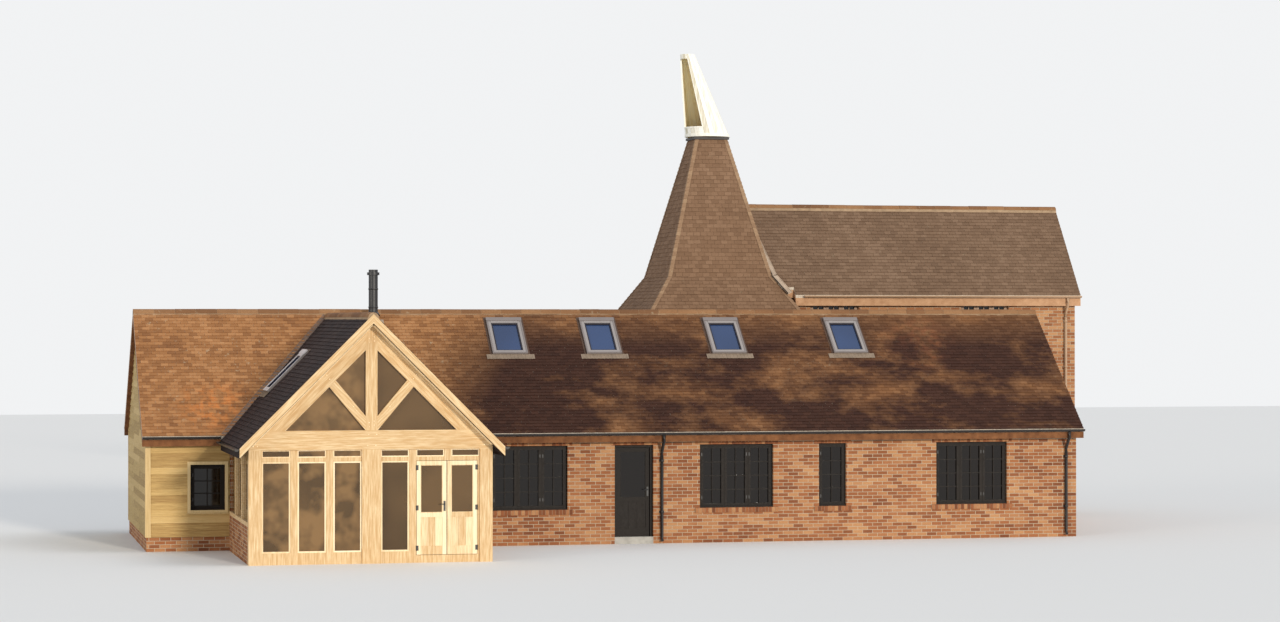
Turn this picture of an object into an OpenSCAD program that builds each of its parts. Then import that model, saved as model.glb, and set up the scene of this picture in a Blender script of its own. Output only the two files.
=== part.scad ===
// Oast house: a long low range with an oak-framed garden wing, and behind it
// a square kiln with a turning cowl and a two-storey stowage.
// Front is -Y, up is +Z, and the origin is under the middle of the whole.

/* [Range] */
// Length of the low front range over its end walls
range_len = 20400; // [19000:100:22600]
// Depth of the range over its front and rear walls
range_w = 5800; // [5400:50:6400]
// Height of the tile edge above the ground
range_eave_z = 2400; // [2300:20:2700]
// Pitch of the range roof in degrees
range_pitch = 40; // [38:0.5:44]
// Overhang of the range eaves beyond the wall
range_eave_out = 200; // [120:10:300]
// Overhang of the range roof at its end walls
range_verge = 100; // [40:10:160]
// Thickness of the brick walls
wall_t = 300; // [220:10:340]
// Thickness of rafters, battens and tiles together
roof_t = 160; // [120:10:200]
// Thickness of the ground floor slabs
floor_t = 150; // [100:10:200]

/* [Range openings] */
// Height of the window and door heads in the front wall
front_head_z = 2120; // [2050:10:2200]
// Height of the window sills in the front wall
front_sill_z = 750; // [500:10:1000]
// Left jamb of the first wide front window
bay_x = 7250; // [7100:10:7400]
// Width of a wide front window
wide_bay_w = 1640; // [1200:10:1700]
// Width of the brick pier between a wide window and the door
pier_w = 1030; // [900:10:1100]
// Width of the front door opening
front_door_w = 850; // [800:10:950]
// Width of the small front window
narrow_bay_w = 620; // [500:10:700]
// Left jamb of the boarded wall's window
left_window_x = 900; // [800:10:950]
// Width of the boarded wall's window
left_window_w = 720; // [500:10:740]
// Head height of the boarded wall's window
left_window_head_z = 1800; // [1700:10:1900]
// Depth of window frames across the wall
frame_d = 90; // [60:5:120]
// Face width of window frame members
frame_w = 55; // [40:5:80]
// Thickness of a sealed glass unit
glass_t = 24; // [12:2:32]
// Thickness of a door leaf
leaf_t = 46; // [40:2:60]
// Gap round a door leaf
leaf_gap = 8; // [7:0.5:10]
// Width of the stiles and top rail of a door leaf
leaf_stile = 80; // [70:5:110]
// Height of the bottom panel of a door leaf
leaf_panel_h = 800; // [600:10:900]
// Radius of a hinge knuckle
knuckle_r = 8; // [6:0.5:11]
// Length of a hinge knuckle
knuckle_h = 100; // [70:5:130]
// Running gap between a knuckle and the frame
knuckle_gap = 0.3; // [0.2:0.1:1]
// Width of the hinge plate on the leaf
hinge_plate_w = 40; // [25:1:60]
// Thickness of the hinge plate on the leaf
hinge_plate_t = 4; // [3:0.5:6]
// Set-back of a window frame from the wall face
frame_in = 80; // [40:5:110]
// Number of rear windows to the left of the kiln
rear_window_count = 3; // [2:1:4]
// Share of the wall right of the small front window that lies left of the last wide one
last_bay_share = 0.61; // [0.5:0.01:0.7]
// Play round a pane in its frame
pane_play = 0.3; // [0.1:0.1:0.5]
// Bedding joint under roofs, lead and ridge tiles
bed = 0.4; // [0.2:0.1:0.6]

/* [Roof windows] */
// Width of a roof window
roof_window_w = 780; // [550:10:940]
// Length of a roof window up the slope
roof_window_len = 1180; // [900:10:1400]
// Distance down the slope from the ridge to a roof window
roof_window_down = 326.8; // [260:0.2:480]
// Height of a roof window frame above the tiles
roof_window_rise = 60; // [40:5:90]
// Face width of a roof window frame
roof_window_frame_w = 80; // [60:5:100]
// Middle of the wing's roof window behind the range's front wall face
wing_window_y = 100; // [-300:10:110]
// Distance up the wing's slope from its edge to its roof window
wing_window_up = 1400; // [1380:10:1800]

/* [Wing] */
// Middle of the garden wing along the range
wing_x = 4130; // [4050:10:4250]
// Width of the wing over its corner posts
wing_w = 4840; // [4500:10:4960]
// Projection of the wing frame in front of the range
wing_out = 4000; // [3600:50:4400]
// Overhang of the wing roof in front of its frame
wing_front_over = 300; // [200:10:400]
// Overhang of the wing eaves beyond its sides
wing_eave_out = 200; // [150:10:260]
// Height of the wing's tile edge above the ground
wing_eave_z = 2300; // [2250:10:2380]
// Pitch of the wing roof in degrees
wing_pitch = 45; // [43:0.5:46]
// Thickness of the wing roof
wing_roof_t = 140; // [110:10:160]
// Width of the oak posts seen from the front
post_w = 260; // [200:10:280]
// Width of the wide oak post under the king post
centre_post_w = 380; // [300:10:400]
// Depth of the oak frame from front to back
oak_d = 200; // [160:10:240]
// Depth of the tie beam
tie_h = 380; // [300:10:420]
// Height of the underside of the tie beam
tie_z = 2250; // [2180:10:2280]
// Width of the king post
king_w = 230; // [180:10:260]
// Face width of the struts
strut_w = 180; // [120:10:200]
// Lean of the struts from the vertical in degrees
strut_angle = 40; // [34:1:46]
// Distance along a strut's line where it begins
strut_foot = 60; // [0:10:150]
// Face width of the principal rafters
rafter_w = 280; // [220:10:300]
// Face width of the bargeboards
barge_w = 130; // [110:5:200]
// Thickness of the bargeboards
barge_t = 50; // [30:5:60]
// Face width of the mullions
mullion_w = 140; // [90:5:160]
// Depth of the mullions and rails
mullion_d = 120; // [90:5:140]
// Height of the rail under the top lights
transom_z = 2020; // [1940:10:2060]
// Depth of the rail under the top lights
transom_h = 80; // [60:5:100]
// Height of the brick dwarf walls at the wing's sides
dwarf_z = 750; // [500:10:900]
// Thickness of the dwarf walls
dwarf_t = 240; // [200:10:260]
// Width of the lining between the corner post and the doors
door_lining_w = 40; // [25:5:60]
// Width of the wing's side posts
side_post_w = 150; // [120:10:180]
// Diameter of the stove flue
flue_d = 200; // [150:5:230]
// Height of the top of the flue
flue_top_z = 5900; // [5700:50:6200]
// Place of the flue along the range
flue_x = 5060; // [4900:20:5400]
// Place of the flue across the range
flue_y = 2450; // [2300:10:2600]
// Depth of the flue's cap
flue_cap_h = 120; // [80:10:160]
// How far the flue's cap stands out
flue_cap_out = 35; // [20:5:60]

/* [Kiln] */
// Middle of the kiln along the range
kiln_x = 13800; // [13500:10:14000]
// Width of the square kiln over its walls
kiln_w = 3500; // [3400:10:3560]
// Height of the kiln's tile edge
kiln_eave_z = 4820; // [4700:10:4950]
// Overhang of the kiln eaves
kiln_eave_out = 200; // [120:10:260]
// Height where the steep slope begins
kiln_flare_z = 5820; // [5750:10:5950]
// Half width of the roof where the steep slope begins
kiln_flare_half = 1250; // [1200:10:1300]
// Height of the top of the kiln roof
kiln_top_z = 9110; // [8900:10:9250]
// Half width of the top of the kiln roof
kiln_top_half = 380; // [330:5:400]
// Thickness of the kiln roof
kiln_roof_t = 140; // [110:5:150]
// Height of the timber curb under the cowl
curb_h = 60; // [50:5:140]
// Half width of the timber curb
curb_half = 430; // [410:5:450]
// Width of the bar and the beam that hold the pivot post
bearing_w = 150; // [130:10:180]
// Depth of the beam that carries the pivot post
pivot_beam_h = 150; // [120:10:200]

/* [Cowl] */
// Height of the cowl
cowl_h = 1950; // [1700:10:2200]
// Diameter of the cowl at its foot
cowl_base_d = 1070; // [1000:10:1200]
// Diameter of the cowl at its top
cowl_top_d = 346; // [300:2:400]
// How far the top leans towards the open side
cowl_lean = 667; // [560:1:700]
// Turn of the open side from the left towards the front, as it stands
cowl_turn = 30; // [0:5:60]
// Thickness of the cowl boards
cowl_t = 25; // [20:1:35]
// Running gap between the curb and the cowl
cowl_gap = 12; // [8:1:20]
// Diameter of the cowl's pivot post
pivot_d = 90; // [70:5:110]
// Radial gap round the pivot post
pivot_gap = 1; // [0.5:0.5:3]
// Height of the beam that carries the pivot post
pivot_beam_z = 7920; // [7800:20:8000]
// How far the pivot post rises inside the cowl
pivot_up = 700; // [500:20:760]
// Height of the cross arms above the cowl's foot
cowl_arm_h = 120; // [60:10:200]
// Angle that the open side takes up to each side of the lean
cowl_mouth_half = 40; // [30:1:50]
// Height of the closed foot below the open side
cowl_sill_h = 230; // [210:10:450]
// Height of the closed head above the open side
cowl_head_h = 110; // [80:10:400]

/* [Stowage] */
// Length of the stowage from the kiln to its right end
stow_len = 7050; // [6400:10:7700]
// Depth of the stowage over its front and rear walls
stow_w = 3200; // [3100:20:3300]
// Set-back of the stowage front from the kiln front
stow_back = 300; // [300:10:360]
// Height of the stowage's tile edge
stow_eave_z = 5390; // [5300:10:5500]
// Pitch of the stowage roof in degrees
stow_pitch = 51; // [49:0.5:52]
// Overhang of the stowage eaves
stow_eave_out = 150; // [120:10:200]
// Overhang of the stowage roof at its end wall
stow_verge = 90; // [50:10:140]
// Height of the upper floor's surface
upper_floor_z = 3000; // [2800:20:3200]
// Thickness of the upper floor
upper_floor_t = 250; // [200:10:300]
// Head height of the upper windows
upper_head_z = 5210; // [5000:10:5240]
// Head height of the ground floor windows
lower_head_z = 2150; // [2050:10:2250]
// Height of a three-light window
casement_h = 1000; // [800:10:1100]
// Width of a three-light window
casement_w = 1200; // [1000:10:1300]
// Distance from the kiln wall to the first window's middle
casement_first = 1000; // [900:10:1200]
// Distance from the stowage's right end to the second window's middle
casement_last = 2290; // [1900:10:2600]
// Width of the plank door in the stowage's rear wall
oast_door_w = 950; // [850:10:1100]

/* [Trim] */
// Radius of a ridge tile
ridge_r = 125; // [100:5:150]
// Height of a ridge tile above the peak of the roof
ridge_rise = 45; // [30:5:70]
// Width of a gutter
gutter_w = 110; // [90:5:130]
// Depth of a gutter
gutter_h = 75; // [60:5:90]
// Thickness of gutter metal
gutter_t = 5; // [3:1:8]
// Width of the lead gutter behind the range
lead_w = 200; // [160:10:260]
// Height of the lead turned up the wall
lead_up = 300; // [150:10:400]
// Depth of the lead gutter below the tiles
lead_depth = 60; // [40:5:80]
// Thickness of lead and its board
lead_t = 20; // [10:2:30]

/* [Hidden] */

brick = "#b07055";
boards = "#c9a66e";
oak = "#e1be8c";
tiles = "#a5704b";
wing_tiles = "#6b4f42";
kiln_tiles = "#8c705c";
stow_tiles = "#806658";
slab_grey = "#a8a49a";
iron = "#2b2b2d";
lead_grey = "#7d8288";
cream = "#ece6d6";
dark_paint = "#34322f";
glass_blue = "#7fa0b8";

// Small margin by which a cutting shape runs past a face
cut = 1;

// Heights of the range roof's top and underside over a place across the range
range_tan = tan(range_pitch);
range_drop = roof_t / cos(range_pitch);
range_ridge_y = range_w / 2;
function range_top(y) = range_eave_z + (min(y, range_w - y) + range_eave_out) * range_tan;
function range_under(y) = range_top(y) - range_drop;
range_ridge_z = range_top(range_ridge_y);
roof_window_up = (range_ridge_y + range_eave_out) / cos(range_pitch) - roof_window_down - roof_window_len;

// The same for the wing, over a place across the wing
wing_tan = tan(wing_pitch);
wing_half = wing_w / 2;
wing_drop = wing_roof_t / cos(wing_pitch);
function wing_top(x) = wing_eave_z + (wing_half + wing_eave_out - abs(x - wing_x)) * wing_tan;
function wing_under(x) = wing_top(x) - wing_drop;
wing_x0 = wing_x - wing_half;
wing_x1 = wing_x + wing_half;
wing_eave_x0 = wing_x0 - wing_eave_out;
wing_eave_x1 = wing_x1 + wing_eave_out;
wing_front_y = -wing_out;
wing_back_y = wing_front_y + oak_d;
wing_tip_y = wing_front_y - wing_front_over;
wing_ridge_z = wing_top(wing_x);
wing_under_apex = wing_ridge_z - wing_drop;
wing_in_x0 = wing_x0 + dwarf_t;
wing_in_x1 = wing_x1 - dwarf_t;

// Kiln places and the slopes of its flared roof
kiln_half = kiln_w / 2;
kiln_y0 = range_w - wall_t;
kiln_y = kiln_y0 + kiln_half;
kiln_y1 = kiln_y0 + kiln_w;
kiln_x0 = kiln_x - kiln_half;
kiln_x1 = kiln_x + kiln_half;
kiln_eave_half = kiln_half + kiln_eave_out;
flare_slope = (kiln_flare_z - kiln_eave_z) / (kiln_eave_half - kiln_flare_half);
steep_slope = (kiln_top_z - kiln_flare_z) / (kiln_flare_half - kiln_top_half);
flare_drop = kiln_roof_t / cos(atan(flare_slope));
steep_in = kiln_roof_t / sin(atan(steep_slope));
function flare_under(a) = kiln_flare_z - (a - kiln_flare_half) * flare_slope - flare_drop;
knee = ((kiln_flare_half - steep_in) * steep_slope + flare_drop - kiln_flare_half * flare_slope)
    / (steep_slope - flare_slope);
kiln_inner_top = kiln_top_half - steep_in;
curb_z = kiln_top_z + curb_h;
cowl_z = curb_z + cowl_gap;

// Stowage places and roof heights
stow_y0 = kiln_y0 + stow_back;
stow_y1 = stow_y0 + stow_w;
stow_ridge_y = stow_y0 + stow_w / 2;
stow_x0 = kiln_x1;
stow_end_x = stow_x0 + stow_len;
stow_tan = tan(stow_pitch);
stow_drop = roof_t / cos(stow_pitch);
function stow_top(y) = stow_eave_z + (min(y - stow_y0, stow_y1 - y) + stow_eave_out) * stow_tan;
function stow_under(y) = stow_top(y) - stow_drop;
stow_ridge_z = stow_top(stow_ridge_y);

// Middle of the whole seen from above
x_min = -range_verge;
x_max = stow_end_x + stow_verge;
y_min = wing_tip_y;
y_max = stow_y1 + stow_eave_out + gutter_w;
mid_x = (x_min + x_max) / 2;
mid_y = (y_min + y_max) / 2;

// Openings in the walls of the range
door_x = bay_x + wide_bay_w + pier_w;
bay3_x = door_x + front_door_w + pier_w;
bay4_x = bay3_x + wide_bay_w + pier_w;
bay4_end = bay4_x + narrow_bay_w;
bay5_x = bay4_end + (range_len - wall_t - wide_bay_w - bay4_end) * last_bay_share;
right_bays = [[bay3_x, wide_bay_w], [bay4_x, narrow_bay_w], [bay5_x, wide_bay_w]];
rear_windows = [for (i = [0 : rear_window_count - 1]) (i + 0.5) * kiln_x0 / rear_window_count];
roof_window_xs = [7970, 10070, 12910, 15720];
left_window_h = 950;

// Openings in the walls of the stowage, and their levels
stow_windows = [stow_x0 + casement_first, stow_end_x - casement_last];
oast_door_x = (stow_windows[0] + stow_windows[1] - oast_door_w) / 2;
kiln_link_w = 900;
kiln_link_h = 2050;

// The oak screen under the tie beam
half_bay_w = wing_half - post_w - centre_post_w / 2;
light_w = (half_bay_w - 2 * mullion_w) / 3;
transom_top = transom_z + transom_h;
tie_top = tie_z + tie_h;
screen_y = wing_front_y + (oak_d - mullion_d) / 2;
screen_glass_y = wing_front_y + (oak_d - glass_t) / 2;
left_bay_x = wing_x0 + post_w;
right_bay_x = wing_x + centre_post_w / 2;
wing_doors_x0 = right_bay_x + light_w + mullion_w;
wing_doors_w = 2 * light_w + mullion_w - door_lining_w;
wing_leaf_w = wing_doors_w / 2 - 2 * leaf_gap;
wing_leaf_h = transom_z - floor_t - 2 * leaf_gap;
side_lights = 3;
side_light_w = (wing_out - oak_d - (side_lights - 1) * side_post_w) / side_lights;

// A prism along X from an outline in Y and Z
module along_x(points, x0, x1) {
    translate([x0, 0, 0])
        rotate([90, 0, 90])
            linear_extrude(x1 - x0)
                polygon(points);
}

// A prism along Y from an outline in X and Z
module along_y(points, y0, y1) {
    translate([0, y1, 0])
        rotate([90, 0, 0])
            linear_extrude(y1 - y0)
                polygon(points);
}

// A block between two corners
module block(a, b) {
    translate(a)
        cube(b - a);
}

// Moves the house so that the origin is under its middle
module place() {
    translate([-mid_x, -mid_y, 0])
        children();
}

// Mirrors children from the front of a building to its rear
module rear_of(middle_y) {
    translate([0, 2 * middle_y, 0])
        mirror([0, 1, 0])
            children();
}

// A window frame along X, split into equal lights
module casement(x, y, z, w, h, lights) {
    pane_w = (w - frame_w * (lights + 1)) / lights;
    difference() {
        block([x, y, z], [x + w, y + frame_d, z + h]);
        for (i = [0 : lights - 1])
            translate([x + frame_w + i * (pane_w + frame_w), y - cut, z + frame_w])
                cube([pane_w, frame_d + 2 * cut, h - 2 * frame_w]);
    }
}

// The panes of such a window
module panes(x, y, z, w, h, lights) {
    pane_w = (w - frame_w * (lights + 1)) / lights;
    for (i = [0 : lights - 1])
        pane([x + frame_w + i * (pane_w + frame_w), y + (frame_d - glass_t) / 2, z + frame_w],
            [pane_w, glass_t, h - 2 * frame_w], [pane_play, 0, pane_play]);
}

// A pane drawn in on each side by its play
module pane(corner, size, play) {
    translate(corner + play)
        cube(size - 2 * play);
}

// Every window of the range, as a frame or as its panes
module range_windows(glazed) {
    bay_h = front_head_z - front_sill_z;
    window(glazed, bay_x, frame_in, front_sill_z, wide_bay_w, bay_h, 3);
    for (b = right_bays)
        window(glazed, b[0], frame_in, front_sill_z, b[1], bay_h, b[1] > narrow_bay_w ? 3 : 1);
    window(glazed, left_window_x, frame_in, left_window_head_z - left_window_h, left_window_w,
        left_window_h, 1);
    for (x = rear_windows)
        window(glazed, x - casement_w / 2, range_w - frame_in - frame_d, lower_head_z - casement_h,
            casement_w, casement_h, 3);
}

// Every window of the stowage and the kiln, as a frame or as its panes
module oast_windows(glazed) {
    for (x = stow_windows) {
        window(glazed, x - casement_w / 2, stow_y0 + frame_in, upper_head_z - casement_h,
            casement_w, casement_h, 3);
        for (head = [lower_head_z, upper_head_z])
            window(glazed, x - casement_w / 2, stow_y1 - frame_in - frame_d, head - casement_h,
                casement_w, casement_h, 3);
    }
    for (head = [lower_head_z, upper_head_z])
        translate([stow_end_x - frame_in, stow_ridge_y, 0])
            rotate([0, 0, 90])
                window(glazed, -casement_w / 2, 0, head - casement_h, casement_w, casement_h, 3);
    translate([kiln_x0 + frame_in + frame_d, kiln_y, 0])
        rotate([0, 0, 90])
            window(glazed, -casement_w / 2, 0, lower_head_z - casement_h, casement_w, casement_h, 3);
}

module window(glazed, x, y, z, w, h, lights) {
    if (glazed)
        panes(x, y, z, w, h, lights);
    else
        casement(x, y, z, w, h, lights);
}

// Floors

module range_floor() {
    color(slab_grey)
        place() {
            difference() {
                block([wall_t, wall_t, 0], [range_len - wall_t, range_w - wall_t, floor_t]);
                block([wing_in_x0, 0, -cut], [wing_in_x1, wall_t + cut, floor_t + cut]);
            }
            block([door_x, 0, 0], [door_x + front_door_w, wall_t, floor_t]);
        }
}

module wing_floor() {
    color(slab_grey)
        place()
            block([wing_in_x0, wing_back_y, 0], [wing_in_x1, wall_t, floor_t]);
}

module oast_floor() {
    color(slab_grey)
        place() {
            block([kiln_x0 + wall_t, kiln_y0 + wall_t, 0],
                [kiln_x1 - wall_t, kiln_y1 - wall_t, floor_t]);
            block([kiln_x - kiln_link_w / 2, kiln_y0, 0],
                [kiln_x + kiln_link_w / 2, kiln_y0 + wall_t, floor_t]);
            block([stow_x0 + wall_t, stow_y0 + wall_t, 0],
                [stow_end_x - wall_t, stow_y1 - wall_t, floor_t]);
            block([oast_door_x, stow_y1 - wall_t, 0], [oast_door_x + oast_door_w, stow_y1, floor_t]);
        }
}

module stowage_upper_floor() {
    color(oak)
        place()
            block([stow_x0 + wall_t, stow_y0 + wall_t, upper_floor_z - upper_floor_t],
                [stow_end_x - wall_t, stow_y1 - wall_t, upper_floor_z]);
}

// Walls of the range

function range_wall_section() = [[0, 0], [wall_t, 0], [wall_t, range_under(wall_t) - bed],
    [0, range_under(0) - bed]];

function range_gable_outline() = [[0, 0], [range_w, 0], [range_w, range_under(range_w) - bed],
    [range_ridge_y, range_under(range_ridge_y) - bed], [0, range_under(0) - bed]];

module range_front_wall_left() {
    color(boards)
        place()
            difference() {
                along_x(range_wall_section(), wall_t, wing_in_x0);
                block([left_window_x, -cut, left_window_head_z - left_window_h],
                    [left_window_x + left_window_w, wall_t + cut, left_window_head_z]);
            }
}

module range_front_wall_mid() {
    color(brick)
        place()
            difference() {
                along_x(range_wall_section(), wing_in_x1, door_x);
                block([bay_x, -cut, front_sill_z], [bay_x + wide_bay_w, wall_t + cut, front_head_z]);
            }
}

module range_door_head() {
    color(brick)
        place()
            along_x([[0, front_head_z], [wall_t, front_head_z], [wall_t, range_under(wall_t) - bed],
                [0, range_under(0) - bed]], door_x, door_x + front_door_w);
}

module range_front_wall_right() {
    color(brick)
        place()
            difference() {
                along_x(range_wall_section(), door_x + front_door_w, range_len - wall_t);
                for (b = right_bays)
                    block([b[0], -cut, front_sill_z], [b[0] + b[1], wall_t + cut, front_head_z]);
            }
}

module range_left_gable() {
    color(boards)
        place()
            along_x(range_gable_outline(), 0, wall_t);
}

module range_right_gable() {
    color(brick)
        place()
            along_x(range_gable_outline(), range_len - wall_t, range_len);
}

module range_rear_wall() {
    color(brick)
        place() {
            difference() {
                rear_of(range_ridge_y)
                    along_x(range_wall_section(), wall_t, kiln_x0);
                for (x = rear_windows)
                    block([x - casement_w / 2, range_w - wall_t - cut, lower_head_z - casement_h],
                        [x + casement_w / 2, range_w + cut, lower_head_z]);
            }
            rear_of(range_ridge_y)
                along_x(range_wall_section(), kiln_x1, range_len - wall_t);
        }
}

// Roof of the range

function range_slope() = [[-range_eave_out, range_eave_z], [range_ridge_y, range_ridge_z],
    [range_ridge_y, range_ridge_z - range_drop], [-range_eave_out, range_eave_z - range_drop]];

// Everything that lies under the top of the front slope
module under_range_slope() {
    along_x([[-range_eave_out, -cut], [-range_eave_out, range_eave_z],
        [range_ridge_y, range_ridge_z], [range_ridge_y, -cut]], -range_verge, range_len);
}

// The room inside the wing, from side to side, under its roof
module wing_room(x0, x1, y0, y1) {
    along_y([[x0, -cut], [x1, -cut], [x1, wing_under(x1)], [wing_x, wing_under_apex],
        [x0, wing_under(x0)]], y0, y1);
}

// Children on the front slope: X along the eave, Y up the slope, Z out of it
module on_range_slope(x, up) {
    translate([x, -range_eave_out, range_eave_z])
        rotate([range_pitch, 0, 0])
            translate([0, up, 0])
                children();
}

// Children on the wing's left slope: X towards the front, Y up the slope, Z out of it
module on_wing_slope(y, up) {
    translate([wing_eave_x0, y, wing_eave_z])
        rotate([0, 0, -90])
            rotate([wing_pitch, 0, 0])
                translate([0, up, 0])
                    children();
}

// Children at every roof window
module at_roof_windows() {
    for (x = roof_window_xs)
        on_range_slope(x, roof_window_up)
            children();
    on_wing_slope(wing_window_y, wing_window_up)
        children();
}

// The hole for a roof window
module roof_window_hole() {
    translate([-roof_window_w / 2, 0, -2 * roof_t])
        cube([roof_window_w, roof_window_len, 3 * roof_t]);
}

module range_roof_front() {
    color(tiles)
        place()
            difference() {
                along_x(range_slope(), -range_verge, range_len + range_verge);
                for (x = roof_window_xs)
                    on_range_slope(x, roof_window_up)
                        roof_window_hole();
                wing_room(wing_x0, wing_x1, -2 * range_eave_out, 0);
                wing_room(wing_in_x0, wing_in_x1, -cut, range_ridge_y);
            }
}

module range_roof_rear() {
    color(tiles)
        place()
            difference() {
                rear_of(range_ridge_y)
                    along_x(range_slope(), -range_verge, range_len + range_verge);
                block([kiln_x0, kiln_y0, 0], [kiln_x1, stow_y1, range_ridge_z]);
                block([kiln_x1 - cut, range_w - lead_w, 0],
                    [range_len + range_verge + cut, stow_y1, range_ridge_z]);
            }
}

module roof_window_frames() {
    color(cream)
        place()
            at_roof_windows()
                difference() {
                    translate([-roof_window_w / 2, 0, -wing_roof_t])
                        cube([roof_window_w, roof_window_len, wing_roof_t + roof_window_rise]);
                    roof_window_light(roof_t + cut, roof_t + roof_window_rise + 2 * cut);
                }
}

module roof_window_glass() {
    color(glass_blue)
        place()
            at_roof_windows()
                roof_window_light(glass_t - roof_window_rise / 2, glass_t, pane_play);
}

// The clear light of a roof window, from below the tile surface up
module roof_window_light(below, thick, play = 0) {
    pane([-roof_window_w / 2 + roof_window_frame_w, roof_window_frame_w, -below],
        [roof_window_w - 2 * roof_window_frame_w, roof_window_len - 2 * roof_window_frame_w, thick],
        [play, play, 0]);
}

// Windows and the door of the range

module range_frames() {
    color(dark_paint)
        place()
            range_windows(false);
}

module range_door_frame() {
    color(dark_paint)
        place()
            difference() {
                block([door_x, frame_in, floor_t],
                    [door_x + front_door_w, frame_in + frame_d, front_head_z]);
                block([door_x + frame_w, frame_in - cut, floor_t - cut],
                    [door_x + front_door_w - frame_w, frame_in + frame_d + cut,
                        front_head_z - frame_w]);
            }
}

module window_glass() {
    color(glass_blue)
        place() {
            range_windows(true);
            oast_windows(true);
        }
}

// A leaf with a bottom panel and one large light above it, hung on its left edge
module glazed_leaf(w, h) {
    light_h = h - leaf_panel_h - leaf_stile;
    hinge_knuckles(h);
    difference() {
        cube([w, leaf_t, h]);
        translate([leaf_stile, -cut, leaf_panel_h])
            cube([w - 2 * leaf_stile, (leaf_t - glass_t) / 2 + cut, light_h]);
        translate([leaf_stile, (leaf_t + glass_t) / 2, leaf_panel_h])
            cube([w - 2 * leaf_stile, leaf_t, light_h]);
    }
}

// Three knuckles in front of the edge of the frame, on their plates on the leaf
module hinge_knuckles(h) {
    for (z = [leaf_stile, (h - knuckle_h) / 2, h - leaf_stile - knuckle_h])
        translate([-leaf_gap, -knuckle_gap - knuckle_r, z]) {
            cylinder(r = knuckle_r, h = knuckle_h, $fn = 24);
            translate([leaf_gap / 2, knuckle_r + knuckle_gap - hinge_plate_t, 0])
                cube([hinge_plate_w, hinge_plate_t, knuckle_h]);
        }
}

// The front door opens inwards, so its hinges are on the room side
module range_door() {
    color(dark_paint)
        place()
            translate([door_x + frame_w + leaf_gap, frame_in + frame_d, floor_t + leaf_gap])
                mirror([0, 1, 0])
                    glazed_leaf(front_door_w - 2 * frame_w - 2 * leaf_gap,
                        front_head_z - frame_w - floor_t - 2 * leaf_gap);
}

// Wing

module wing_dwarf_walls() {
    color(brick)
        place()
            for (x = [wing_x0, wing_in_x1])
                block([x, wing_back_y, 0], [x + dwarf_t, 0, dwarf_z]);
}

// One oak side of the wing: plate on top, posts and a sill rail
module wing_side(x0) {
    along_y([[x0, tie_z], [x0 + mullion_d, tie_z], [x0 + mullion_d, wing_under(x0 + mullion_d)],
        [x0, wing_under(x0)]], wing_back_y, 0);
    difference() {
        block([x0, wing_back_y, dwarf_z], [x0 + mullion_d, 0, tie_z]);
        wing_side_lights(x0 - cut, mullion_d + 2 * cut);
    }
}

// The lights of one side of the wing
module wing_side_lights(x0, thick, play = 0) {
    for (i = [0 : side_lights - 1])
        pane([x0, wing_back_y + i * (side_light_w + side_post_w), dwarf_z + transom_h],
            [thick, side_light_w, tie_z - dwarf_z - transom_h], [0, play, play]);
}

// Mirrors children from the left side of the wing to its right side
module both_sides() {
    children();
    translate([2 * wing_x, 0, 0])
        mirror([1, 0, 0])
            children();
}

module wing_side_frames() {
    color(oak)
        place()
            both_sides()
                wing_side(wing_x0);
}

module wing_posts() {
    color(oak)
        place() {
            both_sides()
                block([wing_x0, wing_front_y, 0], [wing_x0 + post_w, wing_back_y, tie_z]);
            block([wing_x - centre_post_w / 2, wing_front_y, 0],
                [wing_x + centre_post_w / 2, wing_back_y, tie_z]);
        }
}

// Outline of the gable frame under the wing roof, from a height up
module gable_area(z0, in) {
    drop = in / cos(wing_pitch);
    foot = (wing_under_apex - drop - z0) / wing_tan;
    reach = min(foot, wing_half);
    translate([wing_x, 0])
        polygon([[-reach, z0], [reach, z0], [reach, wing_under_apex - drop - reach * wing_tan],
            [0, wing_under_apex - drop], [-reach, wing_under_apex - drop - reach * wing_tan]]);
}

module king_area() {
    intersection() {
        gable_area(tie_top, 0);
        translate([wing_x - king_w / 2, tie_top])
            square([king_w, wing_ridge_z]);
    }
}

module strut_area() {
    difference() {
        intersection() {
            gable_area(tie_top, rafter_w);
            for (side = [-1, 1])
                translate([wing_x, tie_top])
                    rotate(90 - side * strut_angle)
                        translate([strut_foot, -strut_w / 2])
                            square([wing_half, strut_w]);
        }
        translate([wing_x - king_w / 2, tie_top - cut])
            square([king_w, wing_ridge_z]);
    }
}

// An outline in X and Z made into oak between two depths
module oak_plate(y0, thick) {
    translate([0, y0 + thick, 0])
        rotate([90, 0, 0])
            linear_extrude(thick)
                children();
}

module wing_tie_beam() {
    color(oak)
        place()
            oak_plate(wing_front_y, oak_d)
                intersection() {
                    gable_area(tie_z, 0);
                    translate([wing_x0, tie_z])
                        square([wing_w, tie_h]);
                }
}

module wing_king_post() {
    color(oak)
        place()
            oak_plate(wing_front_y, oak_d)
                king_area();
}

module wing_struts() {
    color(oak)
        place()
            oak_plate(wing_front_y, oak_d)
                strut_area();
}

module wing_principal_rafters() {
    color(oak)
        place()
            oak_plate(wing_front_y, oak_d)
                difference() {
                    gable_area(tie_top, 0);
                    gable_area(tie_top - cut, rafter_w);
                    king_area();
                }
}

module wing_bargeboards() {
    drop = barge_w / cos(wing_pitch);
    color(oak)
        place()
            oak_plate(wing_tip_y, barge_t)
                polygon([[wing_eave_x0, wing_eave_z], [wing_x, wing_ridge_z],
                    [wing_eave_x1, wing_eave_z], [wing_eave_x1, wing_eave_z - drop],
                    [wing_x, wing_ridge_z - drop], [wing_eave_x0, wing_eave_z - drop]]);
}

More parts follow.
